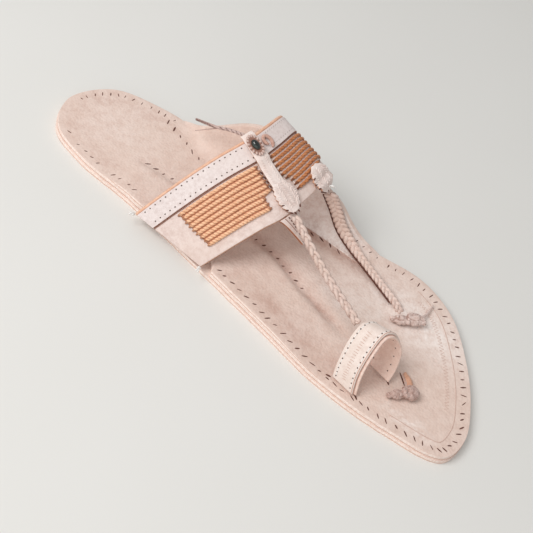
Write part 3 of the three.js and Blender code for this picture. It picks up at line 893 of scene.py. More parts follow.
class Bench:
    """Modelling tools: each takes and leaves one object."""

    @staticmethod
    def clear() -> None:
        """Leaves nothing selected."""
        if bpy.context.object and bpy.context.object.mode != "OBJECT":
            bpy.ops.object.mode_set(mode="OBJECT")
        bpy.ops.object.select_all(action="DESELECT")

    @classmethod
    def take(cls, piece: Piece) -> None:
        """Selects one piece alone and makes it active."""
        cls.clear()
        piece.select_set(True)
        bpy.context.view_layer.objects.active = piece

    @classmethod
    def edit(cls, piece: Piece) -> None:
        """Opens one piece in edit mode, all of it selected."""
        cls.take(piece)
        bpy.ops.object.mode_set(mode="EDIT")
        bpy.ops.mesh.select_all(action="SELECT")

    @classmethod
    def grid(cls, name: str, along: int, across: int, place: Place) -> Piece:
        """A grid laid on a surface.

        Args:
            name: the piece's name.
            along: faces along the first direction.
            across: faces along the second.
            place: where a share of each direction lies, in millimetres.
        Returns:
            The open sheet.
        """
        cls.clear()
        bpy.ops.mesh.primitive_grid_add(x_subdivisions=along, y_subdivisions=across, size=2.0)
        piece = bpy.context.active_object
        piece.name = piece.data.name = name
        mesh = piece.data
        flat = np.empty(len(mesh.vertices) * 3)
        mesh.vertices.foreach_get("co", flat)
        shares = (flat.reshape(-1, 3)[:, :2] + 1) / 2
        points = [(place(float(a), float(b)) + SHIFT) * MM for a, b in shares]
        mesh.vertices.foreach_set("co", np.array([tuple(p) for p in points]).ravel())
        mesh.update()
        return piece

    @classmethod
    def weld(cls, piece: Piece, fill: bool = False) -> None:
        """Joins coincident points.

        Args:
            piece: the piece.
            fill: whether its open ends are closed too, and its faces turned outwards.
        """
        cls.edit(piece)
        bpy.ops.mesh.remove_doubles(threshold=2e-6)
        if fill:
            bpy.ops.mesh.select_all(action="SELECT")
            bpy.ops.mesh.fill_holes(sides=0)
            bpy.ops.mesh.select_all(action="SELECT")
            bpy.ops.mesh.normals_make_consistent(inside=False)
        bpy.ops.object.mode_set(mode="OBJECT")

    @classmethod
    def apply(cls, piece: Piece, kind: str, **values: object) -> None:
        """Adds a modifier, sets it and applies it.

        Args:
            piece: the piece.
            kind: the modifier's type.
            values: its settings.
        """
        cls.take(piece)
        modifier = piece.modifiers.new(kind.lower(), kind)
        for name, value in values.items():
            setattr(modifier, name, value)
        bpy.ops.object.modifier_apply(modifier=modifier.name)

    @classmethod
    def thicken(cls, piece: Piece, thick: float, edge: float = 0.4) -> None:
        """Gives a sheet its wall, with rim faces in the second finish, and rounds its rim.

        Args:
            piece: the sheet.
            thick: wall in millimetres, half to each side.
            edge: rounding of the rim in millimetres.
        """
        cls.apply(
            piece, "SOLIDIFY", thickness=thick * MM, offset=0.0,
            use_even_offset=True, material_offset_rim=1,
        )
        if edge:
            cls.round(piece, edge)
        cls.smooth(piece)

    @classmethod
    def round(cls, piece: Piece, width: float) -> None:
        """Rounds the sharp edges of a piece by a width in millimetres."""
        cls.apply(
            piece, "BEVEL", width=width * MM, segments=2, limit_method="ANGLE",
            angle_limit=math.radians(50.0), use_clamp_overlap=True, harden_normals=False,
        )

    @classmethod
    def smooth(cls, piece: Piece) -> None:
        """Shades a piece smooth."""
        cls.take(piece)
        bpy.ops.object.shade_smooth()

    @classmethod
    def tube(cls, name: str, seats: Sequence[Frame], sides: int, section: Ring) -> Piece:
        """A closed tube through a row of frames.

        Args:
            name: the piece's name.
            seats: a frame for each ring.
            sides: faces round the tube.
            section: side and lift offsets of a ring's point at an angle, in millimetres.
        Returns:
            The tube with its ends closed.
        """
        last = len(seats) - 1

        def place(a: float, b: float) -> Vector:
            """A point of the tube."""
            i = round(a * last)
            side, lift = section(i, (round(b * sides) % sides) * 2 * math.pi / sides)
            return seats[i].centre + seats[i].side * side + seats[i].lift * lift

        piece = cls.grid(name, last, sides, place)
        cls.weld(piece, fill=True)
        cls.smooth(piece)
        return piece

    @classmethod
    def line(
        cls, name: str, seats: Sequence[Frame], sides: int, size: Pair, finish: Finish, slot: Slot
    ) -> None:
        """A plain tube in one finish, tied to the frame.

        Args:
            name: the piece's name.
            seats: a frame for each ring.
            sides: faces round it.
            size: its half width and half height in millimetres.
            finish: its finish.
            slot: the record's slot.
        """
        piece = cls.tube(name, seats, sides, lambda i, angle: oval(*size, angle))
        cls.dress(piece, finish)
        cls.keep(piece, slot)

    @classmethod
    def seed(cls, form: Grain) -> Piece:
        """A small rounded form to copy: a ball laid on its side and cut flat below.

        Args:
            form: its faces and its lower half.
        Returns:
            The form, of unit size.
        """
        cls.clear()
        bpy.ops.mesh.primitive_uv_sphere_add(segments=form.sides, ring_count=form.rings, radius=1.0)
        made = bpy.context.active_object
        cls.edit(made)
        bpy.ops.transform.rotate(value=math.pi / 2, orient_axis="Y", center_override=(0, 0, 0))
        bpy.ops.mesh.select_all(action="SELECT")
        bpy.ops.mesh.bisect(plane_co=(0, 0, -form.flat), plane_no=(0, 0, 1), clear_inner=True, use_fill=True)
        bpy.ops.object.mode_set(mode="OBJECT")
        return made

    @classmethod
    def copies(cls, name: str, form: Piece, places: Sequence[Matrix]) -> Piece:
        """One piece made of copies of a form, which is used up.

        Args:
            name: the piece's name.
            form: the form, of unit size.
            places: where each copy goes, in millimetres.
        Returns:
            The piece.
        """
        points = [v.co.copy() for v in form.data.vertices]
        faces = [tuple(p.vertices) for p in form.data.polygons]
        shift = Matrix.Translation(SHIFT)
        verts, polys = [], []
        for place in places:
            start = len(verts)
            verts += [(shift @ place @ p) * MM for p in points]
            polys += [tuple(start + i for i in face) for face in faces]
        bpy.data.objects.remove(form)
        mesh = bpy.data.meshes.new(name)
        mesh.from_pydata(verts, [], polys)
        mesh.update()
        piece = bpy.data.objects.new(name, mesh)
        bpy.context.scene.collection.objects.link(piece)
        cls.smooth(piece)
        return piece

    @classmethod
    def scatter(
        cls, name: str, places: Sequence[Matrix], finish: Finish, form: Grain = STITCH, slot: Slot = Slot.PALE
    ) -> Piece:
        """Copies of a small form in one finish, tied to the frame.

        Args:
            name: the piece's name.
            places: where each copy goes, in millimetres.
            finish: its finish.
            form: the form.
            slot: the record's slot.
        Returns:
            The piece.
        """
        piece = cls.copies(name, cls.seed(form), places)
        cls.dress(piece, finish)
        return cls.keep(piece, slot)

    @staticmethod
    def stand(seat: Frame, size: Sequence[float], turn: float = 0.0) -> Matrix:
        """Where a copy of these half sizes stands on a frame, its length ahead, turned about the lift."""
        axes = Matrix((seat.ahead, seat.side, seat.lift)).transposed().to_4x4()
        return Matrix.Translation(seat.centre) @ axes @ Matrix.Rotation(turn, 4, "Z") @ Matrix.Diagonal((*size, 1))

    @staticmethod
    def soil_and_shade(piece: Piece, amount: Amount, wear: WearAndLight = WearAndLight.SOIL) -> None:
        """Marks at each point of a piece how much it is darkened, for dirt and painted shade, or paled, for rubbing
        and painted light, as the wear argument picks.

        Args:
            piece: the piece.
            amount: how much, from nothing to one, at a point in the drawing's millimetres.
            wear: which of the two.
        """
        layer = piece.data.attributes.new(wear.value, "FLOAT", "POINT")
        values = [amount(v.co / MM - SHIFT) for v in piece.data.vertices]
        layer.data.foreach_set("value", values)

    @staticmethod
    def groove_shade(seats: Sequence[Frame], high: float, low: float, most: float) -> Amount:
        """Painted shade on a point of a twisted cord for lying between its strands.

        Args:
            seats: the frames of the cord's middle.
            high: the distance from the middle that is left unshaded.
            low: the distance that is wholly shaded.
            most: the painted shade there.
        Returns:
            The painted shade at a point.
        """
        centres = np.array([tuple(seat.centre) for seat in seats])

        def amount(p: Vector) -> float:
            """The painted shade at one point."""
            far = float(np.sqrt(((centres - np.array(tuple(p))) ** 2).sum(1).min()))
            return most * unit((high - far) / (high - low))

        return amount

    @classmethod
    def join(cls, name: str, parts: Sequence[Piece]) -> Piece:
        """Joins several objects into one named piece.

        Args:
            name: the piece's name.
            parts: the objects.
        Returns:
            The piece.
        """
        cls.clear()
        for part in parts:
            part.select_set(True)
        bpy.context.view_layer.objects.active = parts[0]
        bpy.ops.object.join()
        parts[0].name = parts[0].data.name = name
        return parts[0]

    @staticmethod
    def dress(piece: Piece, *finishes: Finish) -> None:
        """Gives a piece its finishes, in order."""
        for finish in finishes:
            piece.data.materials.append(finish.value.material())

    @staticmethod
    def keep(piece: Piece, slot: Slot, *nodes: str) -> Piece:
        """Ties a finished piece to the frame.

        Args:
            piece: the piece.
            slot: the record's slot; not used.
            nodes: the solids that it stands for.
        Returns:
            The piece.
        """
        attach(piece, "root")
        if nodes:
            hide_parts(*nodes)
        log.info("%s: %d faces", piece.name, len(piece.data.polygons))
        return piece


@dataclass
class Studio:
    """The camera, the floor and the light."""

    azimuth: float = 16.5
    elevation: float = 47.8
    roll: float = 25.8
    distance: float = 585.0
    focal: float = 1100.0 / PICTURE * SENSOR
    target: tuple[float, float, float] = (4.5, -17.2, 10.0)

    def axes(self) -> tuple[Vector, Vector, Vector]:
        """The camera's directions.

        Returns:
            The picture's right and up, and the way back to the camera.
        """
        a, e, r = (math.radians(x) for x in (self.azimuth, self.elevation, self.roll))
        back = Vector((math.sin(a) * math.cos(e), -math.cos(a) * math.cos(e), math.sin(e)))
        right = Vector((math.cos(a), math.sin(a), 0))
        up = back.cross(right)
        return right * math.cos(r) + up * math.sin(r), up * math.cos(r) - right * math.sin(r), back

    def camera(self) -> None:
        """Sets the camera at the photograph's angle."""
        right, up, back = self.axes()
        Bench.clear()
        bpy.ops.object.camera_add()
        camera = bpy.context.active_object
        camera.name = "camera"
        at = (Vector(self.target) + SHIFT + back * self.distance) * MM
        camera.matrix_world = Matrix.Translation(at) @ Matrix((right, up, back)).transposed().to_4x4()
        camera.data.sensor_width = SENSOR
        camera.data.lens = self.focal
        camera.data.clip_start = 0.01
        bpy.context.scene.camera = camera

    @staticmethod
    def lamp(
        name: str, way: Vector, far: float, size: float, power: float, tint: tuple[float, float, float]
    ) -> None:
        """A soft lamp.

        Args:
            name: the lamp's name.
            way: the way from the sandal to the lamp.
            far: its distance in metres.
            size: its side in metres.
            power: its power in watts.
            tint: its colour.
        """
        Bench.clear()
        bpy.ops.object.light_add(type="AREA")
        lamp = bpy.context.active_object
        lamp.name = name
        lamp.location = way.normalized() * far
        lamp.rotation_mode = "QUATERNION"
        lamp.rotation_quaternion = way.to_track_quat("Z", "Y")
        lamp.data.shape = "SQUARE"
        lamp.data.size = size
        lamp.data.energy = power
        lamp.data.color = tint

    def light(self) -> None:
        """Soft light from the upper left of the picture, with a weak fill."""
        right, up, back = self.axes()
        high = back + up * 0.55 - right * 0.45
        self.lamp("key", high, far=1.3, size=0.7, power=10.4, tint=(1.0, 0.99, 0.98))
        low = back * 0.6 - right * 0.3 - up * 0.6 + UP * 0.4
        self.lamp("fill", low, far=1.5, size=1.2, power=3.0, tint=(1.0, 0.995, 0.99))
        world = bpy.data.worlds.new("studio")
        world.use_nodes = True
        sky = world.node_tree.nodes["Background"]
        sky.inputs["Color"].default_value = (1.0, 0.995, 0.985, 1.0)
        sky.inputs["Strength"].default_value = 0.5
        bpy.context.scene.world = world
        bpy.context.scene.view_settings.view_transform = "Standard"

    def floor(self) -> None:
        """A plain pale floor."""
        Bench.clear()
        bpy.ops.mesh.primitive_plane_add(size=6.0)
        floor = bpy.context.active_object
        floor.name = "floor"
        Bench.dress(floor, Finish.FLOOR)


@dataclass
class ThongEnd:
    """The free end of the thong behind the band: two strands twisted together."""

    radius: float = 1.0
    twist: float = 7.0
    rings: int = 130

    def build(self) -> None:
        route = Route(THONG_ROUTE)
        seats = route.seats(self.rings)

        def section(i: int, angle: float) -> Pair:
            """Two strands side by side, turning along the cord and thinning to its tip.

            Args:
                i, angle: the ring and the place on it.
            Returns:
                The offsets to the side and up.
            """
            share = i / self.rings
            turn = 2 * math.pi * share * route.length / self.twist * (1 - 0.6 * share)
            thin = mix(1.0, 0.8, ease((share - 0.55) / 0.45))
            r = self.radius * thin * (0.62 + 0.38 * abs(math.cos(angle - turn)))
            return oval(r, r, angle)

        piece = Bench.tube("thong_twist", seats, 14, section)
        # Painted shade in the grooves between the two strands.
        Bench.soil_and_shade(piece, Bench.groove_shade(seats, 0.88 * self.radius, 0.66 * self.radius, 0.85))
        Bench.dress(piece, Finish.THONG)
        Bench.keep(piece, Slot.THONG, "thong_end")
        fork = self.fork(route)
        path = [(seat.centre + SHIFT) * MM for seat in seats[::4]]
        path[-1] = (seats[-1].centre + SHIFT) * MM
        long = sum((b - a).length for a, b in zip(path, path[1:]))
        tuple(path[0])
        [tuple(p) for p in path]

    def fork(self, route: Route) -> Piece:
        """The thin strand that parts from the cord before its tip.

        Args:
            route: the cord's middle.
        Returns:
            The strand.
        """
        bow = route.at(0.66) + Vector((0.4, 0.6, -1.6))
        side = Route((route.at(0.5), bow, Vector((-82, 27.5, 13.4))))
        rings = 40

        def section(i: int, angle: float) -> Pair:
            """A flat strand that thins to its tip."""
            r = mix(0.55, 0.3, i / rings)
            return oval(r, 0.7 * r, angle)

        piece = Bench.tube("thong_fork", side.seats(rings), 8, section)
        Bench.dress(piece, Finish.THONG)
        return Bench.keep(piece, Slot.THONG)


@dataclass
class Sole:
    """The outsole and the insole, with their slits and tooling."""

    length: float = 290.0
    ball_width: float = 102.0
    heel_x: float = -148.3
    outsole: float = 2.6
    insole: float = 2.7
    gap: float = 0.3
    inset: float = 0.5
    medial_rise: float = 1.8
    lateral_rise: float = 1.6
    stations: int = 170
    slit_step: float = 5.4
    slit_inset: float = 4.6
    crease_slits: int = 22

    def __post_init__(self) -> None:
        """Runs the outline and the creases."""
        points = [(self.heel_x + t * self.length, w * self.ball_width, 0) for t, w in OUTLINE]
        self.rim = Route(points, closed=True)
        self.heel = min(self.rim.line, key=lambda p: p.x)
        self.toe = max(self.rim.line, key=lambda p: p.x)
        keys = [row.x for row in CREASES]
        self.medial = Column(keys, [row.medial for row in CREASES])
        self.lateral = Column(keys, [row.lateral for row in CREASES])
        self.floor_top = self.outsole + self.gap + self.insole
        self.edge = np.array([(p.x, p.y) for p in self.rim.line])

    def sides(self, x: float) -> Pair:
        """How wide the sole is at a station.

        Args:
            x: the station.
        Returns:
            The inner and the outer side of the outline.
        """
        hits = [
            mix(p.y, q.y, (x - p.x) / (q.x - p.x))
            for p, q in zip(self.rim.line, self.rim.line[1:])
            if (p.x < x) != (q.x < x)
        ]
        if not hits:
            tip = self.heel.y if x < 0 else self.toe.y
            return tip, tip
        return min(hits), max(hits)

    def top(self, x: float, y: float) -> float:
        """Height of the insole's upper face.

        Args:
            x, y: the place.
        Returns:
            The height, with the ears' feet, the two creases and the outer knot's bump.
        """
        medial = ease((self.medial(x) - y) / 6) * window(x, -96, -82, 30, 72)
        lateral = ease((y - self.lateral(x)) / 9) * window(x, -98, -72, 10, 42)
        fold = bell((y - self.medial(x)) / 3.5) * window(x, -25, 0, 48, 72)
        valley = bell((y - self.lateral(x) + 0.5) / 3.5) * window(x, -15, 8, 40, 66)
        bump = math.exp(-(((x - 72) / 5) ** 2 + ((y - 18.6) / 4) ** 2))
        rise = self.medial_rise * medial + self.lateral_rise * lateral
        return self.floor_top + rise - 0.9 * fold - 0.5 * valley + 1.0 * bump

    def seat(self, x: float, y: float, ahead: Vector) -> Frame:
        """A frame on the insole's upper face.

        Args:
            x, y: the place.
            ahead: the way that its first direction points, in plan.
        Returns:
            The frame, lifted a hair from the face.
        """
        e = 0.4
        slope_x = (self.top(x + e, y) - self.top(x - e, y)) / (2 * e)
        slope_y = (self.top(x, y + e) - self.top(x, y - e)) / (2 * e)
        lift = Vector((-slope_x, -slope_y, 1)).normalized()
        side = lift.cross(ahead).normalized()
        return Frame(Vector((x, y, self.top(x, y) + 0.02)), side.cross(lift), side, lift)

    def layer(
        self, name: str, inset: float, low: float, top: Callable[[float, float], float], columns: int, cut: bool
    ) -> Piece:
        """A layer of the sole, extruded down from its upper face.

        Args:
            name: the piece's name.
            inset: how far it stands in from the outline.
            low: height of its lower face.
            top: height of its upper face.
            columns: faces across.
            cut: whether it is cut back beside the ears.
        Returns:
            The layer.
        """
        middle = (self.heel.x + self.toe.x) / 2
        reach = (self.toe.x - self.heel.x) / 2
        cache: dict[float, tuple[float, float, float]] = {}

        def station(a: float) -> tuple[float, float, float]:
            """Where a station lies.

            Args:
                a: its share of the length.
            Returns:
                Its x and its two sides.
            """
            if a not in cache:
                share = -math.cos(a * math.pi)
                inner, outer = self.sides(middle + reach * share)
                x = middle + (reach - inset) * share
                if 0 < a < 1:
                    medial = 7.4 * window(x, -67, -57, -19, -14) if cut else 0
                    lateral = 2.2 * window(x, -98, -86, 34, 44) if cut else 0
                    outer = max(inner + inset, outer - inset - lateral)
                    inner = inner + inset + medial
                cache[a] = (x, inner, outer)
            return cache[a]

        def place(a: float, b: float) -> Vector:
            """A point of the upper face.

            Args:
                a, b: its shares of the length and the width.
            Returns:
                The point.
            """
            x, inner, outer = station(round(a, 6))
            y = mix(inner, outer, b)
            return Vector((x, y, top(x, y)))

        piece = Bench.grid(name, self.stations, columns, place)
        Bench.weld(piece)
        Bench.edit(piece)
        bpy.ops.mesh.extrude_region_move(TRANSFORM_OT_translate={"value": (0, 0, -self.insole * MM)})
        bpy.ops.object.mode_set(mode="OBJECT")
        for v in piece.data.vertices:
            if v.select:
                v.co.z = low * MM
        Bench.weld(piece, fill=True)
        for face in piece.data.polygons:
            if abs(face.normal.z) < 0.6:
                face.material_index = 1
        return piece

    def grime_and_shade(self, p: Vector) -> float:
        """Darkening of the insole: painted shade with some dirt along both creases, a darker band beside the inner
        rim, and a rough ring of wear round the heel.

        Args:
            p: a point of the insole.
        Returns:
            How dark it is.
        """
        # Along both creases, painted shade with some dirt; beside the inner rim, a darker band; round the heel, a
        # rough ring of wear.
        patchy = 0.7 + 0.5 * noise.noise(p * 0.06)
        fold = bell((p.y - self.medial(p.x)) / 3.6) * window(p.x, -45, -8, 34, 66)
        valley = bell((p.y - self.lateral(p.x) + 1.5) / 4.4) * window(p.x, -25, 0, 44, 74)
        inner = self.sides(p.x)[0]
        darker = bell((p.y - inner - 11) / 7.5) * window(p.x, -15, 10, 62, 84)
        far = float(np.sqrt(((self.edge - np.array((p.x, p.y))) ** 2).sum(1).min()))
        heel = 1 - ease((p.x + 100) / 30)
        ring = bell((far - 9.5) / 4.5) * heel * unit(0.5 + 1.5 * noise.noise(p * 0.4))
        return unit(patchy) * (0.68 * fold + 0.8 * valley + 0.4 * darker) + 0.17 * ring

    def rubbed_and_lit(self, p: Vector) -> float:
        """Where the insole is paled on the heel, ball, outer forefoot and the rim of the toe: partly wear from
        rubbing, partly painted highlight.

        Args:
            p: a point of the insole.
        Returns:
            How pale it is.
        """
        pale = 0.0
        uneven = 0.5 + 1.6 * noise.noise(p * 0.45)
        for s in SCUFFS_AND_HIGHLIGHTS:
            away = ((p.x - s.x) / s.long) ** 2 + ((p.y - s.y) / s.wide) ** 2
            pale += s.most * math.exp(-away) * unit(1 - s.rough + s.rough * uneven)
        return unit(pale)

    def build(self) -> None:
        """Makes the two layers, the slits and the tooled border."""
        lower = self.layer("sole_lower", 0.0, 0.0, lambda x, y: self.outsole, columns=6, cut=False)
        Bench.dress(lower, Finish.EAR, Finish.EDGE)
        Bench.round(lower, 0.35)
        Bench.smooth(lower)
        Bench.keep(lower, Slot.SOLE, "outsole")
        upper = self.layer("sole_upper", self.inset, self.outsole, self.top, columns=56, cut=True)
        Bench.dress(upper, Finish.INSOLE, Finish.EDGE)
        Bench.round(upper, 0.5)
        # Painted shade with some dirt in the creases, a darker band beside the inner rim, and wear round the heel.
        Bench.soil_and_shade(upper, self.grime_and_shade)
        # Paling of the insole: partly wear from rubbing, partly painted highlight.
        Bench.soil_and_shade(upper, self.rubbed_and_lit, WearAndLight.SCUFF)
        Bench.smooth(upper)
        Bench.keep(upper, Slot.PALE, "insole")
        self.slits()
        self.border()

    def inside(self, share: float, inset: float) -> tuple[Vector, Vector]:
        """A place set in from the outline.

        Args:
            share: its share of the way round.
            inset: how far in.
        Returns:
            The place and the way along the outline there.
        """
        e = 0.002
        ahead = (self.rim.at((share + e) % 1) - self.rim.at((share - e) % 1)).normalized()
        return self.rim.at(share) + Vector((ahead.y, -ahead.x, 0)) * inset, ahead

    def slits(self) -> None:
        """Short dark cuts round the rim and along the two creases."""
        places: list[Matrix] = []
        count = round(self.rim.length / self.slit_step)
        for k in range(count):
            p, ahead = self.inside((k + 0.15 * jitter(k)) / count, self.slit_inset + 0.4 * jitter(k, 1))
            inner = p.y < 0
            if (inner and -68 < p.x < -17) or (not inner and -96 < p.x < 46):
                continue
            if inner and p.x < -60 and (k % 5 == 3 or p.x < -130):
                continue
            slant = mix(0.75, -0.95, ease((p.x - 35) / 90)) if inner else 1.5
            faint = 0.85 if p.x < -60 else 1.0
            size = ((1.5 + 0.45 * jitter(k, 2)) * faint, (0.34 + 0.1 * jitter(k, 3)) * faint, 0.14)
            places.append(Bench.stand(self.seat(p.x, p.y, ahead), size, slant + 0.35 * jitter(k, 4)))
        for line, lean in ((self.medial, 1.0), (self.lateral, -0.7)):
            for k in range(self.crease_slits):
                x = mix(-100 if lean < 0 else -86, 25, k / (self.crease_slits - 1))
                y = line(x) + 0.5 * jitter(k, 5) - (1.1 if lean < 0 else 0.0)
                ahead = Vector((1, (line(x + 1) - line(x - 1)) / 2, 0)).normalized()
                size = (1.7 + 0.5 * jitter(k, 6), 0.44 + 0.12 * jitter(k, 8), 0.2)
                places.append(Bench.stand(self.seat(x, y, ahead), size, lean + 0.3 * jitter(k, 7)))
        Bench.scatter("sole_slits", places, Finish.SLIT, CUT)

    def border(self) -> None:
        """A tooled line and a stamped zigzag inside the rim of the toe."""
        rings = 420
        for name, inset, start, end, wave, thin in (
            ("border_line", 9.0, 0.365, 0.60, 0.0, 0.26),
            ("border_zigzag", 14.0, 0.375, 0.50, 1.1, 0.24),
        ):
            seats = []
            for i in range(rings + 1):
                share = mix(start, end, i / rings)
                sway = wave * math.asin(math.sin(i * 0.55)) * 0.7
                p, ahead = self.inside(share % 1, inset + sway)
                seats.append(self.seat(p.x, p.y, ahead))
            Bench.line(name, seats, 6, (thin, 0.1), Finish.TOOLED, Slot.PALE)


@dataclass
class Ears:
    """The two ears that carry the band."""

    sole: Sole
    thick: float = 2.2
    wall: float = 2.4

    def __post_init__(self) -> None:
        """Runs the outer ear's upper edge."""
        self.keys = [row.x for row in OUTER_EAR]
        self.top_y = Column(self.keys, [row.y for row in OUTER_EAR])
        self.top_z = Column(self.keys, [row.z for row in OUTER_EAR])

    def sweep(self, x: float, w: float) -> Vector:
        """A point of the face that sweeps from the insole up to the outer ear's edge.

        Args:
            x: the station.
            w: share of the way from the crease up to the edge.
        Returns:
            The place.
        """
        low = self.sole.floor_top
        crease = self.sole.lateral(x)
        high = self.top_z(x) - 0.25
        side = self.top_y(x) - 0.75
        foot = Vector((x, crease + 0.5, low - 0.45))
        bend = Vector((x, mix(crease, side, 0.78), low + 0.12 * (high - low)))
        return foot.lerp(bend, w).lerp(bend.lerp(Vector((x, side, high)), w), w)

    def outer(self) -> None:
        """The outer ear, from beside the insole up to its edge, and its inner face."""
        foot_z = self.sole.outsole + self.sole.gap + self.thick / 2 + 0.1

        def place(a: float, w: float) -> Vector:
            """A point of the ear's middle surface, which sinks into the sole at its ends.

            Args:
                a: its share of the length.
                w: its share of the way up.
            Returns:
                The point.
            """
            x = mix(self.keys[0] - 5, self.keys[-1] + 6, a)
            edge = self.sole.sides(x)[1]
            high = max(foot_z, self.top_z(x))
            stand = unit((high - foot_z) / 8)
            side = mix(edge - 1.4, self.top_y(x), stand)
            belly = (mix(edge - 1.6, max(edge + 1.2, side), stand), foot_z + 0.18 * (high - foot_z))
            y = mix(mix(edge - 2, belly[0], w), mix(belly[0], side, w), w)
            z = mix(mix(foot_z, belly[1], w), mix(belly[1], high, w), w)
            return Vector((x, y, z))

        piece = Bench.grid("ear_wall_outer", 130, 26, place)
        Bench.dress(piece, Finish.EAR, Finish.EAR)
        Bench.thicken(piece, self.thick, 0.4)
        Bench.keep(piece, Slot.PALE, "ear_outer")
        face = Bench.grid("ear_face_outer", 130, 40, lambda a, w: self.sweep(mix(-97, 46, a), w))
        Bench.dress(face, Finish.INSOLE, Finish.INSOLE)
        Bench.thicken(face, 0.8, 0)
        crease = self.sole.lateral
        # Painted shade with some dirt along the crease at the foot of the face.
        Bench.soil_and_shade(face, lambda p: 0.45 * bell((p.y - crease(p.x)) / 3.6) * window(p.x, -40, 0, 36, 66))
        # Painted light on the front of the ear's inner face, where the band and the outer tab shade it.
        Bench.soil_and_shade(face, lambda p: 0.85 * window(p.x, -25, -5, 24, 44), WearAndLight.SCUFF)
        Bench.keep(face, Slot.PALE)
        self.slits()

    def slits(self) -> None:
        """Dark cuts in front, where the outer ear runs out on the sole."""
        cuts = []
        for k in range(6):
            x = mix(19, 43, k / 5)
            at = self.sweep(x, 0.8)
            ahead = (self.sweep(x + 1, 0.8) - self.sweep(x - 1, 0.8)).normalized()
            lift = ahead.cross(self.sweep(x, 0.82) - self.sweep(x, 0.78)).normalized()
            seat = Frame(at + lift * 0.42, ahead, lift.cross(ahead), lift)
            cuts.append(Bench.stand(seat, (0.9 + 0.25 * jitter(k, 2), 0.24, 0.1), 1.2 + 0.3 * jitter(k, 4)))
        Bench.scatter("ear_slits", cuts, Finish.SLIT, CUT)

    def inner(self, band: Ruled) -> None:
        """The inner ear under the band.

        Args:
            band: the band's middle surface.
        """
        depth = self.wall / 2 + 0.3 + self.thick / 2

        def place(w: float, v: float) -> Vector:
            """A point of the ear's middle surface."""
            return band.raised(mix(0.032, 0.24, w), mix(0.1, 0.88, v), -depth)

        piece = Bench.grid("ear_wall_inner", 36, 30, place)
        Bench.dress(piece, Finish.EAR, Finish.RIM)
        Bench.thicken(piece, self.thick, 0.4)
        Bench.keep(piece, Slot.PALE, "ear_inner")


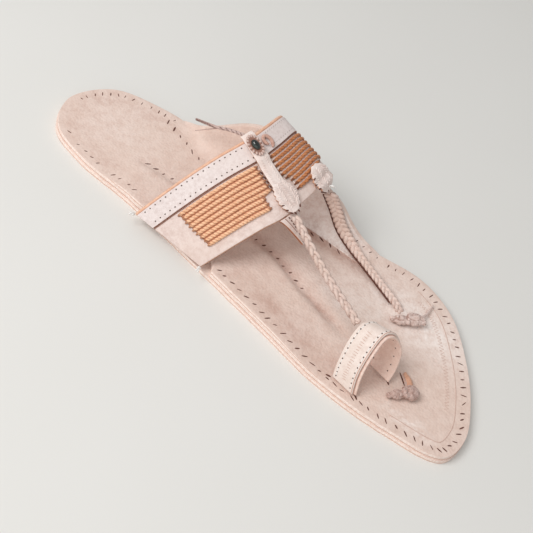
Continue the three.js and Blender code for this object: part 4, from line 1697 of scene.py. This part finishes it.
@dataclass
class InstepBand:
    """The instep band with its edge strip, rows of plait, straps and ornament."""

    wall: float = 2.4
    long: float = 142.0
    wide: float = 45.0
    ends_at: float = 0.93
    strip: float = 1.2
    strip_share: float = 0.275
    rows: int = 9
    rows_from: float = 0.3
    rows_to: float = 0.865
    cord: float = 1.07
    twist: float = 4.4
    strap_back: float = 0.488
    strap_front: float = 0.52
    strap_wide: float = 6.8
    strap_thick: float = 1.8
    tab_from: float = 0.6
    strap_from: float = -0.06
    strap_to: float = 1.03
    strap_eye: Pair = (0.519, 0.84)
    tab_back: float = 0.76
    tab_front: float = 1.12
    tab_eye: Pair = (0.651, 0.93)
    beads: int = 16

    def __post_init__(self) -> None:
        """Reads the band's sections."""
        self.surface = Ruled(BAND)
        self.skin = self.wall / 2

    def strap_at(self, v: float) -> float:
        """Where the centre strap crosses the band."""
        return mix(self.strap_back, self.strap_front, unit(v))

    def strap_height(self, v: float) -> float:
        """How high the centre strap's middle lies."""
        step = (self.strip + 0.25) * (1 - ease((v - self.strip_share) / 0.12))
        return self.skin + 0.3 + step + self.strap_thick / 2 - 1.7 * ease(-v / 0.06)

    def build(self) -> None:
        """Makes the band and all that lies on it."""
        self.wall_and_strip()
        self.marks()
        self.plait()
        self.straps()
        self.ornament()
        self.tongue()

    def wall_and_strip(self) -> None:
        """The band's wall, the strip along its back edge and the lines beside it."""
        wall = Bench.grid("band_wall", 130, 36, lambda a, b: self.surface.point(self.ends_at * a, b))
        Bench.dress(wall, Finish.BAND, Finish.RIM)
        Bench.thicken(wall, self.wall, 0.4)
        Bench.soil_and_shade(wall, lambda p: 0.12 * unit(0.5 + noise.noise(p * 0.15)))
        Bench.keep(wall, Slot.PALE, "band")
        middle = self.skin + 0.1 + self.strip / 2
        strip = Bench.grid(
            "band_strip", 130, 14,
            lambda a, b: self.surface.raised(self.ends_at * a, mix(0.022, self.strip_share, b), middle),
        )
        Bench.dress(strip, Finish.STRIP, Finish.RIM_TAN)
        Bench.thicken(strip, self.strip, 0.35)
        Bench.keep(strip, Slot.PALE, "edge_strip")
        for name, v, high, size, finish in (
            ("band_edge_line", 0.006, self.skin + 0.25, (0.95, 0.7), Finish.EDGE_TAN),
            ("band_seam_line", self.strip_share + 0.01, self.skin + 0.15, (0.34, 0.36), Finish.SEAM),
        ):
            seats = [self.surface.seat(self.ends_at * i / 110, v, high) for i in range(111)]
            Bench.line(name, seats, 8, size, finish, Slot.THONG)

    def marks(self) -> None:
        """Punched dots on the inner half of the strip and fine stitches on the outer half."""
        top = self.skin + 0.1 + self.strip
        dots, stitches = [], []
        for v in (0.055, 0.222):
            for k in range(20):
                seat = self.surface.seat(0.03 + 0.0232 * k, v, top)
                dots.append(Bench.stand(seat, (0.45, 0.4, 0.12)))
            for k in range(29):
                u = 0.566 + 0.0125 * k
                if u < 0.925:
                    stitches.append(Bench.stand(self.surface.seat(u, v, top), (0.62, 0.2, 0.14), 0.5))
        Bench.scatter("strip_dots", dots, Finish.PIN, CUT)
        Bench.scatter("strip_stitches", stitches, Finish.GREY_THREAD, Grain(8, 5, 0.2))

    def plait(self) -> None:
        """Nine twisted cords on each side of the centre strap, on a ground of leather."""
        side = self.strap_wide / 2 / self.long + 0.003

        def inner_end(b: float) -> float:
            """Where the inner rows stop beside the strap."""
            return self.strap_at(mix(self.rows_from, self.rows_to, b)) - side - 0.04 * ease((b - 0.64) / 0.05)

        def outer_start(b: float) -> float:
            """Where the outer rows start beside the strap."""
            return self.strap_at(mix(self.rows_from, self.rows_to, b)) + side + 0.02 * ease((b - 0.5) / 0.2)

        def outer_end(b: float) -> float:
            """Where the outer rows stop past the shoulder."""
            return mix(0.755, 0.655, ease((b - 0.72) / 0.2))

        for name, start, end, node, ground, finish, slim in (
            ("plait_rows_inner", lambda b: 0.105, inner_end, "plait_inner", Finish.GROUND, Finish.CORD, 1.0),
            ("plait_rows_outer", outer_start, outer_end, "plait_outer", Finish.GROUND_PALE, Finish.CORD_DEEP, 0.88),
        ):
            rows = []
            for row in range(self.rows):
                b = (row + 0.5) / self.rows
                v = mix(self.rows_from, self.rows_to, b)
                rows.append(self.cord_row(f"{name}_{row}", start(b), end(b), v, row, slim))
            cords = Bench.join(name, rows)
            Bench.dress(cords, finish)
            Bench.keep(cords, Slot.PLAIT, node)
            bed = Bench.grid(
                f"{name}_ground", 40, 20,
                lambda a, b: self.surface.raised(
                    mix(start(b) + 0.006, end(b) - 0.006, a),
                    mix(self.rows_from + 0.012, self.rows_to - 0.012, b),
                    self.skin + 0.25,
                ),
            )
            # The inner rows' dark ground is partly painted shade between the cords; the outer rows' pale ground is
            # not.
            Bench.dress(bed, ground, ground)
            Bench.thicken(bed, 0.5, 0)
            Bench.keep(bed, Slot.PLAIT)

    def cord_row(self, name: str, start: float, end: float, v: float, row: int, slim: float) -> Piece:
        """One twisted cord along the band.

        Args:
            name: the piece's name.
            start, end: where it starts and stops along the band.
            v: where it lies across the band.
            row: its number, which sets the start of its twist.
            slim: its share of the full thickness.
        Returns:
            The cord.
        """
        start += 0.003 * jitter(row, 8)
        long = (end - start) * self.long
        rings = round(long / self.twist * 14)
        high = self.skin + 0.75
        seats = [self.surface.seat(mix(start, end, i / rings), v, high) for i in range(rings + 1)]

        def section(i: int, angle: float) -> Pair:
            """Two strands that turn along the cord, rounded off at its ends.

            Args:
                i, angle: the ring and the place on it.
            Returns:
                The offsets to the side and up.
            """
            turn = 2 * math.pi * (i / rings * long / self.twist) + row * 1.9
            lobe = abs(math.cos(angle - turn))
            tip = math.sqrt(unit(min(i, rings - i) / 9 + 0.06))
            r = self.cord * slim * tip * (0.74 + 0.33 * lobe ** 0.7)
            return oval(r, r, angle)

        piece = Bench.tube(name, seats, 14, section)
        # Painted shade in the grooves between the two strands.
        Bench.soil_and_shade(piece, Bench.groove_shade(seats, 0.95 * self.cord * slim, 0.77 * self.cord * slim, 0.85))
        return piece

    def strap(self, name: str, centre: Curve, span: Pair, half: Curve, high: Curve, count: int) -> Piece:
        """A strap across the band.

        Args:
            name: the piece's name.
            centre: where it lies along the band, at a share across it.
            span: the shares across the band where it starts and stops.
            half: its half width.
            high: the height of its middle.
            count: faces along it.
        Returns:
            The strap.
        """

        def place(a: float, b: float) -> Vector:
            """A point of the strap's middle surface.

            Args:
                a: its share of the strap's length.
                b: its share of the strap's width.
            Returns:
                The point.
            """
            v = mix(*span, a)
            u = centre(v) - (2 * b - 1) * half(v) / self.long
            return self.surface.raised(u, v, high(v) + 0.35 * (1 - (2 * b - 1) ** 2))

        piece = Bench.grid(name, count, 12, place)
        Bench.dress(piece, Finish.STRAP, Finish.RIM)
        Bench.thicken(piece, self.strap_thick - 0.3, 0.45)
        return piece

    @staticmethod
    def scallop(share: float, half: float) -> float:
        """The half width of an oval tab with a toothed rim."""
        oval = math.sqrt(max(0.04, 1 - (2 * share - 1) ** 2))
        return half * oval * (1 + 0.07 * math.cos(2 * math.pi * 7 * share))

    def petals(self, centre: Pair, half: Pair, high: Curve, count: int, salt: int) -> list[Matrix]:
        """Pleats round the rim of a tab.

        Args:
            centre: the tab's middle on the band.
            half: its half sizes along and across the band, in millimetres.
            high: height of its middle at a share across the band.
            count: pleats.
            salt: starts the unevenness.
        Returns:
            Where each pleat stands.
        """
        made = []
        for k in range(count):
            angle = 2 * math.pi * (k + 0.2 * jitter(k, salt)) / count
            u = centre[0] + 0.9 * half[0] * math.cos(angle) / self.long
            v = centre[1] + 0.9 * half[1] * math.sin(angle) / self.wide
            seat = self.surface.seat(u, v, high(v) + 0.78)
            made.append(Bench.stand(seat, (1.0, 0.36, 0.4), angle + 0.2 * jitter(k, salt + 2)))
        return made

    def ribs(
        self, centre: Curve, span: Pair, half: Curve, high: Curve,
        columns: Sequence[float], size: Sequence[float], salt: int,
    ) -> list[Matrix]:
        """Slanted ribs in columns down a strap.

        Args:
            centre: where the strap lies along the band, at a share across it.
            span: the shares across the band where the ribs start and stop.
            half: the strap's half width.
            high: the height of its middle.
            columns: where each column lies, from -1 to 1 across the strap.
            size: half sizes of a rib.
            salt: starts the unevenness.
        Returns:
            Where each rib stands.
        """
        made = []
        steps = round((span[1] - span[0]) * self.wide / 1.15)
        for number, column in enumerate(columns):
            for k in range(steps):
                v = mix(*span, (k + 0.5 + 0.25 * jitter(k, salt + number)) / steps)
                u = centre(v) + column * half(v) / self.long
                seat = self.surface.seat(u, v, high(v) + 0.72 + 0.35 * (1 - column * column))
                slant = 0.65 if number % 2 else -0.65
                made.append(Bench.stand(seat, size, slant + 0.2 * jitter(k, salt + 7)))
        return made

    def straps(self) -> None:
        """The centre strap and the outer tab, with their ribs and pleats, and dark stitches and painted shadow
        round their fronts.
        """
        span = (self.strap_from, self.strap_to)
        centre = self.strap("centre_strap_hide", self.strap_at, span, self.strap_half, self.strap_height, 80)
        # Painted shade round the tab's middle, among its ribs and pleats.
        Bench.soil_and_shade(centre, self.tab_shade(*self.strap_eye))
        Bench.keep(centre, Slot.PALE, "centre_strap")
        span = (self.tab_back, self.tab_front)
        tab_at = Column(span, (0.644, 0.658))
        tab = self.strap("outer_tab_hide", tab_at, span, self.tab_half, self.tab_height, 50)
        # Painted shade round the tab's middle, among its ribs and pleats.
        Bench.soil_and_shade(tab, self.tab_shade(*self.tab_eye))
        Bench.keep(tab, Slot.PALE, "outer_tab")
        along = (self.strap_at, (0.29, 0.62), self.strap_half, self.strap_height)
        end = (self.strap_at, (0.64, 0.97), self.strap_half, self.strap_height)
        outer = (tab_at, (0.81, 1.05), lambda v: 4.2, self.tab_height)
        rib = (1.1, 0.36, 0.36)
        pleats = self.petals(self.strap_eye, (5.0, 7.6), self.strap_height, count=28, salt=20)
        pleats += self.petals(self.tab_eye, (4.1, 6.2), self.tab_height, count=24, salt=30)
        pleats += self.ribs(*along, (-0.5, 0.5), (1.15, 0.3, 0.26), salt=40)
        pleats += self.ribs(*end, (-0.66, -0.22, 0.22, 0.66), rib, salt=50)
        pleats += self.ribs(*outer, (-0.6, 0.0, 0.6), rib, salt=60)
        piece = Bench.scatter("tab_pleats", pleats, Finish.STRAP, PLEAT)
        Bench.soil_and_shade(piece, lambda p: 0.08 * unit(0.5 + noise.noise(p * 0.6)))
        self.tab_stitches_and_shadow()

    def strap_half(self, v: float) -> float:
        """Half width of the centre strap.

        Args:
            v: the share across the band.
        Returns:
            The half width in millimetres.
        """
        share = (v - self.tab_from) / (self.strap_to - self.tab_from)
        if share < 0:
            return self.strap_wide / 2
        return max(self.scallop(share, 5.2), self.strap_wide / 2 if share < 0.5 else 0)

    def tab_half(self, v: float) -> float:
        """Half width of the outer tab."""
        return self.scallop((v - self.tab_back) / (self.tab_front - self.tab_back), 4.4)

    def tab_height(self, v: float) -> float:
        """Height of the outer tab's middle."""
        on_plait = 1.7 * (1 - ease((v - self.rows_to) / 0.1))
        return self.skin + 0.6 + on_plait - 5 * ease((v - 1.02) / 0.13) + self.strap_thick / 2

    def tab_stitches_and_shadow(self) -> None:
        """Dark stitches round the front of both tabs, enlarged to stand as painted shadow under their toothed rims,
        and dark gaps beside the centre strap.
        """
        marks = []
        for u, v, half, high, first in (
            (0.519, 0.86, (4.6, 8.4), self.strap_height, 0.9),
            (0.651, 0.95, (4.2, 7.6), self.tab_height, 1.4),
        ):
            for k in range(6):
                angle = first + 0.42 * k
                at = (u + half[0] * math.cos(angle) / self.long, v + half[1] * math.sin(angle) / self.wide)
                seat = self.surface.seat(*at, high(at[1]) + self.strap_thick / 2 - 0.1)
                # Stitches enlarged into painted shadow under the tab's toothed rim.
                marks.append(Bench.stand(seat, (1.0, 0.5, 0.4), angle + 0.3 * jitter(k, 31)))
        for k in range(7):
            v = mix(self.rows_from, self.rows_to, (k + 2) / self.rows)
            u = self.strap_at(v) - (self.strap_wide / 2 + 0.4) / self.long
            seat = self.surface.seat(u, v, self.skin + 0.5)
            marks.append(Bench.stand(seat, (0.42, 0.85, 0.4), 0.3 * jitter(k, 33)))
        Bench.scatter("tab_stitches_and_shadow", marks, Finish.SLIT, Grain(8, 5, 0.4))

    def tab_shade(self, u: float, v: float) -> Amount:
        """Painted shade on a strap between the ribs round a tab's middle."""
        home = self.surface.point(u, v)
        return lambda p: 0.2 * unit((9.0 - (p - home).length) / 3.0)

    def ornament(self) -> None:
        """The beaded oval with its stone, and the curl beside it."""
        v = 0.12
        base = self.strap_height(v) + self.strap_thick / 2
        seat = self.surface.seat(self.strap_at(v), v, base)

        rise = ((0, 0), (0.9, 0), (1, 0.25), (1, 0.7), (0.9, 1.0), (0.66, 1.1), (0.6, 0.95), (0, 0.95))
        plate = self.dome("rosette_plate", seat, (3.7, 6.1), rise, lift=0.1, teeth=0.05)
        Bench.dress(plate, Finish.SEAM)
        Bench.keep(plate, Slot.THONG, "rosette")
        beads = []
        for k in range(self.beads):
            angle = 2 * math.pi * k / self.beads
            x, y = oval(3.3, 5.6, angle)
            at = seat.centre + seat.ahead * x + seat.side * y + seat.lift * 1.05
            beads.append(Bench.stand(seat._replace(centre=at), (0.95, 0.68, 0.6), math.atan2(y, x)))
        Bench.scatter("rosette_beads", beads, Finish.ORNAMENT, PLEAT, Slot.THONG)
        rise = ((0, 0), (1, 0), (1, 0.5), (0.9, 1.2), (0.7, 1.75), (0.4, 2.1), (0, 2.2))
        stone = self.dome("rosette_stone", seat, (1.95, 3.1), rise, lift=1.05, teeth=0.0)
        Bench.dress(stone, Finish.STONE)
        Bench.keep(stone, Slot.STONE, "stone")
        self.curl()

    def dome(
        self, name: str, seat: Frame, half: Pair, rise: Sequence[Pair],
        lift: float, teeth: float,
    ) -> Piece:
        """A low oval dome on the strap's head.

        Args:
            name: the piece's name.
            seat: where it stands.
            half: its half sizes along and across the band.
            rise: the share of its half sizes and the height of each ring.
            lift: how far it is raised.
            teeth: depth of the teeth round its rim, as a share.
        Returns:
            The closed dome.
        """
        last = len(rise) - 1

        def place(a: float, b: float) -> Vector:
            """A point of the dome.

            Args:
                a: its share of the way through the rings.
                b: its share of the way round.
            Returns:
                The point.
            """
            share, high = rise[round(a * last)]
            angle = 2 * math.pi * b
            rim = share * (1 + teeth * math.cos(self.beads * angle))
            x, y = oval(half[0] * rim, half[1] * rim, angle)
            return seat.centre + seat.lift * (high + lift) + seat.ahead * x + seat.side * y

        made = Bench.grid(name, last, 96, place)
        Bench.weld(made, fill=True)
        Bench.smooth(made)
        return made

    def curl(self) -> None:
        """A thong end coiled like a comma beside the beaded oval."""
        top = self.skin + 0.1 + self.strip
        home = self.surface.seat(0.548, 0.15, top + 0.75)
        points = []
        for i in range(40):
            t = i / 39
            angle = mix(-1.5, 2 * math.pi * 0.72, t)
            r = mix(3.8, 1.5, t)
            x, y = r * math.cos(angle) * 0.8, r * math.sin(angle) * 1.1
            points.append(home.centre + home.ahead * x + home.side * y + home.lift * (0.5 * t))
        rings = 70

        def section(i: int, angle: float) -> Pair:
            """A flat thong that thins at both ends."""
            tip = math.sqrt(unit(min(i, rings - i) / 8 + 0.05))
            return oval(1.05 * tip, 0.75 * tip, angle)

        piece = Bench.tube("curl_thong", Route(points).seats(rings, home.lift), 10, section)
        Bench.dress(piece, Finish.CURL)
        Bench.keep(piece, Slot.THONG, "curl")

    def tongue(self) -> None:
        """The tongue under the first braid, with its row of stitches."""

        def place(a: float, b: float, lift: float = 0.0) -> Vector:
            """A point of the tongue's middle surface.

            Args:
                a: its share of the length; past the ends the surface runs on.
                b: its share of the width.
                lift: how far it is raised.
            Returns:
                The point.
            """
            side = 2 * b - 1
            u = 0.494 + 0.042 * a - side * 0.046 * mix(1, 0.3, math.sqrt(unit(a)))
            at = self.surface.point(u, mix(1.008, 1.34, a))
            at.z += lift - 7.4 * max(0.0, a) ** 1.4
            return at

        piece = Bench.grid("tongue_hide", 40, 12, lambda a, b: place(mix(0.004, 1, a), b))
        Bench.dress(piece, Finish.BAND, Finish.RIM_TAN)
        Bench.thicken(piece, 2.0, 0.4)
        Bench.keep(piece, Slot.PALE, "tongue")
        marks = []
        for k in range(8):
            a = 0.12 + 0.118 * k
            b = 0.58 + 0.26 * a * a
            at = place(a, b, 1.3)
            ahead = (place(a + 0.05, b, 1.3) - place(a - 0.05, b, 1.3)).normalized()
            side = UP.cross(ahead).normalized()
            size = (0.75, 0.36, 0.3) if k < 7 else (1.1, 0.8, 0.4)
            marks.append(Bench.stand(Frame(at, ahead, side, ahead.cross(side)), size))
        Bench.scatter("tongue_stitches", marks, Finish.SLIT)
        path = [place(mix(0.06, 0.62, i / 40), 0.78, 1.2) for i in range(41)]
        Bench.line("tongue_line", frames(path, lambda i: UP), 6, (0.22, 0.22), Finish.SEAM, Slot.PALE)


@dataclass
class Braid:
    """A flat braid of three strands."""

    name: str
    node: str
    route: Sequence[Sequence[float]]
    reach: float = 1.5
    lean: float = 0.0
    wide: Pair = (1.0, 1.0)
    strand: Pair = (1.35, 0.62)
    pitch: float = 15.6
    lift: float = 0.5
    under: bool = False

    def up(self, share: float) -> Vector:
        """Which way the braid's face looks: inwards where it leaves the band."""
        tilt = self.lean * (1 - ease((share - 0.3) / 0.3))
        return Vector((0, -math.sin(tilt), math.cos(tilt)))

    def spread(self, share: float) -> float:
        """How wide the braid is, against its plain width."""
        return mix(*self.wide, ease(share / 0.7))

    def build(self) -> None:
        """Makes the strands along the route."""
        route = Route(self.route)
        rings = round(route.length / self.pitch * 26)

        def section(i: int, angle: float) -> Pair:
            """A flat strand with soft edges.

            Args:
                i, angle: the ring and the place on it.
            Returns:
                The offsets to the side and up.
            """
            c, s = math.cos(angle), math.sin(angle)
            tip = (0.75 if i in (0, rings) else 1.0) * self.spread(i / rings)
            wide, thick = self.strand
            return wide * tip * c * (1 - 0.1 * s * s), thick * tip * s * (1 - 0.25 * c * c)

        strands = []
        for k in range(3):
            path = [self.weave(route, i / rings, k) for i in range(rings + 1)]
            seats = frames(path, lambda i: route.seat(i / rings, self.up(i / rings)).lift)
            piece = Bench.tube(f"{self.name}_{k}", seats, 12, section)
            # Painted shade where a strand dives under the next and along its rims.
            Bench.soil_and_shade(piece, self.shade(path, route, rings))
            strands.append(piece)
        piece = Bench.join(self.name, strands)
        Bench.dress(piece, Finish.BRAID)
        Bench.keep(piece, Slot.PALE, self.node)
        if self.under:
            self.backing(route)

    def backing(self, route: Route) -> None:
        """The brown thong under the braid, whose rim shows along its inner side, made dark partly as painted shadow
        beneath the braid.

        Args:
            route: the braid's middle.
        """
        seats = []
        for i in range(91):
            share = 0.9 * i / 90
            seat = route.seat(share, self.up(share))
            out = (self.reach + self.strand[0] + 0.15) * self.spread(share)
            seats.append(seat._replace(centre=seat.centre - seat.side * out - seat.lift * 0.6))
        # The thong's rim: partly its own brown, partly painted shadow under the braid.
        Bench.line(f"{self.name}_backing", seats, 8, (0.48, 0.45), Finish.SLIT, Slot.PALE)

    def weave(self, route: Route, share: float, k: int) -> Vector:
        """Where a strand passes: from side to side, over one and under the next.

        Args:
            route: the braid's middle.
            share: how far along it.
            k: the strand.
        Returns:
            The strand's middle there.
        """
        seat = route.seat(share, self.up(share))
        phase = 2 * math.pi * (share * route.length / self.pitch + k / 3)
        out = self.reach * self.spread(share) * math.sin(phase)
        return seat.centre + seat.side * out + seat.lift * (self.lift * math.sin(2 * phase))

    def shade(self, path: Sequence[Vector], route: Route, rings: int) -> Amount:
        """Painted shade on a strand where it dives under the next and along its rims.

        Args:
            path: the strand's middle.
            route: the braid's middle.
            rings: steps along both.
        Returns:
            The painted shade at a point.
        """
        points = np.array([tuple(p) for p in path])

        def amount(p: Vector) -> float:
            """The painted shade at one point.

            Args:
                p: the point.
            Returns:
                Its painted shade.
            """
            near = int(((points - np.array(tuple(p))) ** 2).sum(1).argmin())
            seat = route.seat(near / rings, self.up(near / rings))
            under = unit(-(path[near] - seat.centre).dot(seat.lift) / self.lift * 0.9)
            rim = unit(((p - path[near]).length / self.spread(near / rings) - 0.95) / 0.35)
            return 0.85 * max(0.7 * under, 0.75 * rim)

        return amount


@dataclass
class ToeLoop:
    """The double wall of the toe loop, with its stitches and tooling."""

    sole: Sole
    wall: float = 1.25
    apart: float = 0.72
    stations: int = 110

    @property
    def face(self) -> float:
        """How far each outer face lies from the middle between the two walls."""
        return self.apart + self.wall / 2

    def build(self) -> None:
        """Makes the outer wall, the lining and what is worked on them."""
        surface = Ruled(LOOP)
        for name, high, finish, nodes in (
            ("loop_outer", self.apart, Finish.LOOP, ("toe_loop",)),
            # The lining's warmer, darker tones are partly painted shade inside the loop.
            ("loop_lining", -self.apart, Finish.LINING, ()),
        ):
            ends = (0.0, 1.0) if high > 0 else (0.02, 1.13)
            piece = Bench.grid(name, self.stations, 14, lambda a, b: surface.raised(a, mix(*ends, b), high))
            Bench.dress(piece, finish, finish)
            Bench.thicken(piece, self.wall, 0.4)
            Bench.keep(piece, Slot.PALE, *nodes)
        for name, v, high, thick in (
            ("loop_line_front", 1.008, 0.0, 0.26),
            ("loop_line_rim", 0.952, self.face, 0.2),
            ("loop_line_back", 0.003, 0.0, 0.26),
        ):
            seats = [surface.seat(i / self.stations, v, high) for i in range(self.stations + 1)]
            Bench.line(name, seats, 8, (thick, thick), Finish.CURL, Slot.THONG)
        self.stitches(surface)
        self.feet()

    def stitches(self, surface: Ruled) -> None:
        """Two rows of pale stitches with their holes, and a ladder of tooled dashes between.

        Args:
            surface: the loop's middle surface.
        """
        top = self.face
        holes, threads, dashes = [], [], []
        for v in (0.14, 0.86):
            for k in range(25):
                u = 0.035 + 0.0385 * k
                holes.append(Bench.stand(surface.seat(u, v, top), (0.46, 0.4, 0.12)))
                threads.append(Bench.stand(surface.seat(u + 0.019, v, top), (1.2, 0.26, 0.18)))
                if k % 2:
                    holes.append(Bench.stand(surface.seat(u, v, -top), (0.4, 0.4, 0.12)))
        for k in range(20):
            u = 0.06 + 0.019 * k
            seat = surface.seat(u, 0.5 + 0.02 * jitter(k, 11), top)
            dashes.append(Bench.stand(seat, (0.22, 1.3 + 0.3 * jitter(k, 12), 0.08)))
        for name, places, finish in (
            ("loop_holes", holes, Finish.PIN),
            ("loop_threads", threads, Finish.THREAD),
            ("loop_ladder", dashes, Finish.TOOLED),
        ):
            Bench.scatter(name, places, finish)

    def feet(self) -> None:
        """Dark cuts in the insole where the loop goes through it."""
        cuts = []
        for x, y, turn, long in (
            (84.6, -45.0, -0.6, 2.2), (67.4, -45.4, 0.3, 1.6),
            (92.4, -24.4, -0.7, 1.8), (76.2, -22.0, 0.6, 1.5),
        ):
            cuts.append(Bench.stand(self.sole.seat(x, y, Vector((1, 0, 0))), (long, 0.55, 0.14), turn))
        Bench.scatter("loop_cuts", cuts, Finish.SLIT, Grain(12, 6, 0.2))


@dataclass
class Knots:
    """The two knots on the forefoot where the thongs come up through the sole."""

    sole: Sole
    voxel: float = 0.42

    @staticmethod
    def crack(p: Vector) -> float:
        """How deep a point lies in a fold between the turns of a knot."""
        return unit(1 - abs(noise.noise(Vector((p.x * 0.34, p.y * 0.34, p.z * 0.2)))) / 0.13)

    def lump(self, node: str, lobes: Sequence[Lobe], darker: float) -> None:
        """A knot: lumps and turns of thong grown together and roughened.

        Args:
            node: the solid that it stands for.
            lobes: its lumps and turns.
            darker: the least that it is soiled.
        """
        parts = []
        for lobe in lobes:
            Bench.clear()
            bpy.ops.mesh.primitive_uv_sphere_add(segments=24, ring_count=14, radius=1.0)
            part = bpy.context.active_object
            place = Matrix.Translation(Vector(lobe[:3]) + SHIFT) @ Matrix.Rotation(lobe.turn, 4, "Z")
            place = Matrix.Scale(MM, 4) @ place @ Matrix.Diagonal((lobe.long, lobe.wide, lobe.tall, 1))
            part.data.transform(place)
            parts.append(part)
        piece = Bench.join(f"{node}_hide", parts)
        Bench.apply(piece, "REMESH", mode="VOXEL", voxel_size=self.voxel * MM)
        Bench.apply(piece, "SMOOTH", factor=0.5, iterations=4)
        for v in piece.data.vertices:
            p = v.co / MM
            v.co += v.normal * (0.4 * noise.noise(p * 0.42) - 0.55 * self.crack(p - SHIFT)) * MM
            v.co.z = max(v.co.z, (self.sole.floor_top + 0.02) * MM)
        Bench.smooth(piece)
        # Painted shade towards the insole and in the folds between turns, with some dirt in the folds.
        Bench.soil_and_shade(piece, lambda p: max(0.5 * unit((7.6 - p.z) / 2.0), 0.8 * self.crack(p), darker))
        Bench.dress(piece, Finish.SUEDE)
        Bench.keep(piece, Slot.THONG, node)

    def build(self) -> None:
        """Makes both knots, the thin tail and the tan tab in its slot."""
        self.lump("knot_outer", OUTER_KNOT, darker=0.0)
        self.lump("knot_front", FRONT_KNOT, darker=0.42)
        rings = 40

        def section(i: int, angle: float) -> Pair:
            """A flat thong that thins to its tip."""
            t = i / rings
            return oval(mix(1.0, 0.35, t), mix(0.8, 0.3, t), angle)

        piece = Bench.tube("knot_tail", Route(KNOT_TAIL).seats(rings), 10, section)
        Bench.dress(piece, Finish.SUEDE)
        Bench.keep(piece, Slot.THONG)
        self.tab()

    def tab(self) -> None:
        """A tan tab that stands in a slot beside the front knot."""
        root = Vector((103.6, -19.8, self.sole.floor_top))
        tip = Vector((96.2, -12.9, self.sole.floor_top))
        way = (tip - root).normalized()
        side = UP.cross(way)

        def place(a: float, b: float) -> Vector:
            """A point of the tab's middle surface.

            Args:
                a, b: its shares of the length and the width.
            Returns:
                The point.
            """
            half = 1.25 * math.sqrt(unit(1.04 - a ** 4))
            high = 1.4 + 1.7 * math.sin(math.pi * min(1.0, a + 0.1))
            return root.lerp(tip, a) + side * (half * (2 * b - 1)) + UP * (high - 0.8 * (2 * b - 1) ** 2)

        piece = Bench.grid("knot_tab", 24, 10, place)
        Bench.dress(piece, Finish.TAN, Finish.TAN)
        Bench.thicken(piece, 1.0, 0.3)
        Bench.keep(piece, Slot.THONG)
        cut = [Bench.stand(self.sole.seat(97.0, -16.6, way), (4.4, 0.45, 0.14), 0.05)]
        Bench.scatter("knot_slot", cut, Finish.SLIT, Grain(14, 6, 0.2))


@dataclass
class ThreadEnds:
    """Loose white thread ends at the corners of the band."""

    fine: float = 0.45
    strands: int = 6

    def build(self, band: Ruled) -> None:
        """Makes a small tuft at each place.

        Args:
            band: the band's middle surface.
        """
        homes = (
            (Vector((-66.5, -42.6, 6.2)), Vector((-0.5, -0.7, 0.3))),
            (Vector((-20.6, -43.6, 6.4)), Vector((0.3, -0.9, 0.2))),
            (band.raised(0.66, 1.1, 0.5), Vector((0.8, 0.4, 0.1))),
        )
        parts = []

        def section(i: int, angle: float) -> Pair:
            """A round thread, the same all along."""
            return oval(self.fine, self.fine, angle)

        for number, (home, way) in enumerate(homes):
            for k in range(self.strands):
                lean = Vector((jitter(k, number), jitter(k, number + 5), abs(jitter(k, number + 9)))) * 0.55
                end = home + (way + lean) * (2.2 + 0.8 * jitter(k, 3))
                bow = home.lerp(end, 0.5) + Vector((0, 0, 0.7))
                seats = Route((home, bow, end)).seats(10, Vector((0.2, 0.3, 1)).normalized())
                parts.append(Bench.tube(f"thread_{number}_{k}", seats, 6, section))
        piece = Bench.join("thread_ends", parts)
        Bench.dress(piece, Finish.THREAD)
        Bench.keep(piece, Slot.PALE)


def main() -> None:
    """Builds the studio and the sandal, piece by piece."""
    logging.basicConfig(level=logging.INFO, format="%(name)s %(message)s")
    studio = Studio()
    studio.camera()
    ThongEnd().build()
    sole = Sole()
    sole.build()
    band = InstepBand()
    ears = Ears(sole)
    ears.outer()
    ears.inner(band.surface)
    band.build()
    Braid("braid_to_loop", "braid_loop", BRAID_TO_LOOP).build()
    Braid(
        "braid_to_sole", "braid_outer", BRAID_TO_SOLE,
        lean=0.9, wide=(1.45, 1.06), strand=(1.15, 0.6), pitch=9.8, under=True,
    ).build()
    ToeLoop(sole).build()
    Knots(sole).build()
    ThreadEnds().build(band.surface)
    studio.floor()
    studio.light()


if __name__ == "__main__":
    main()
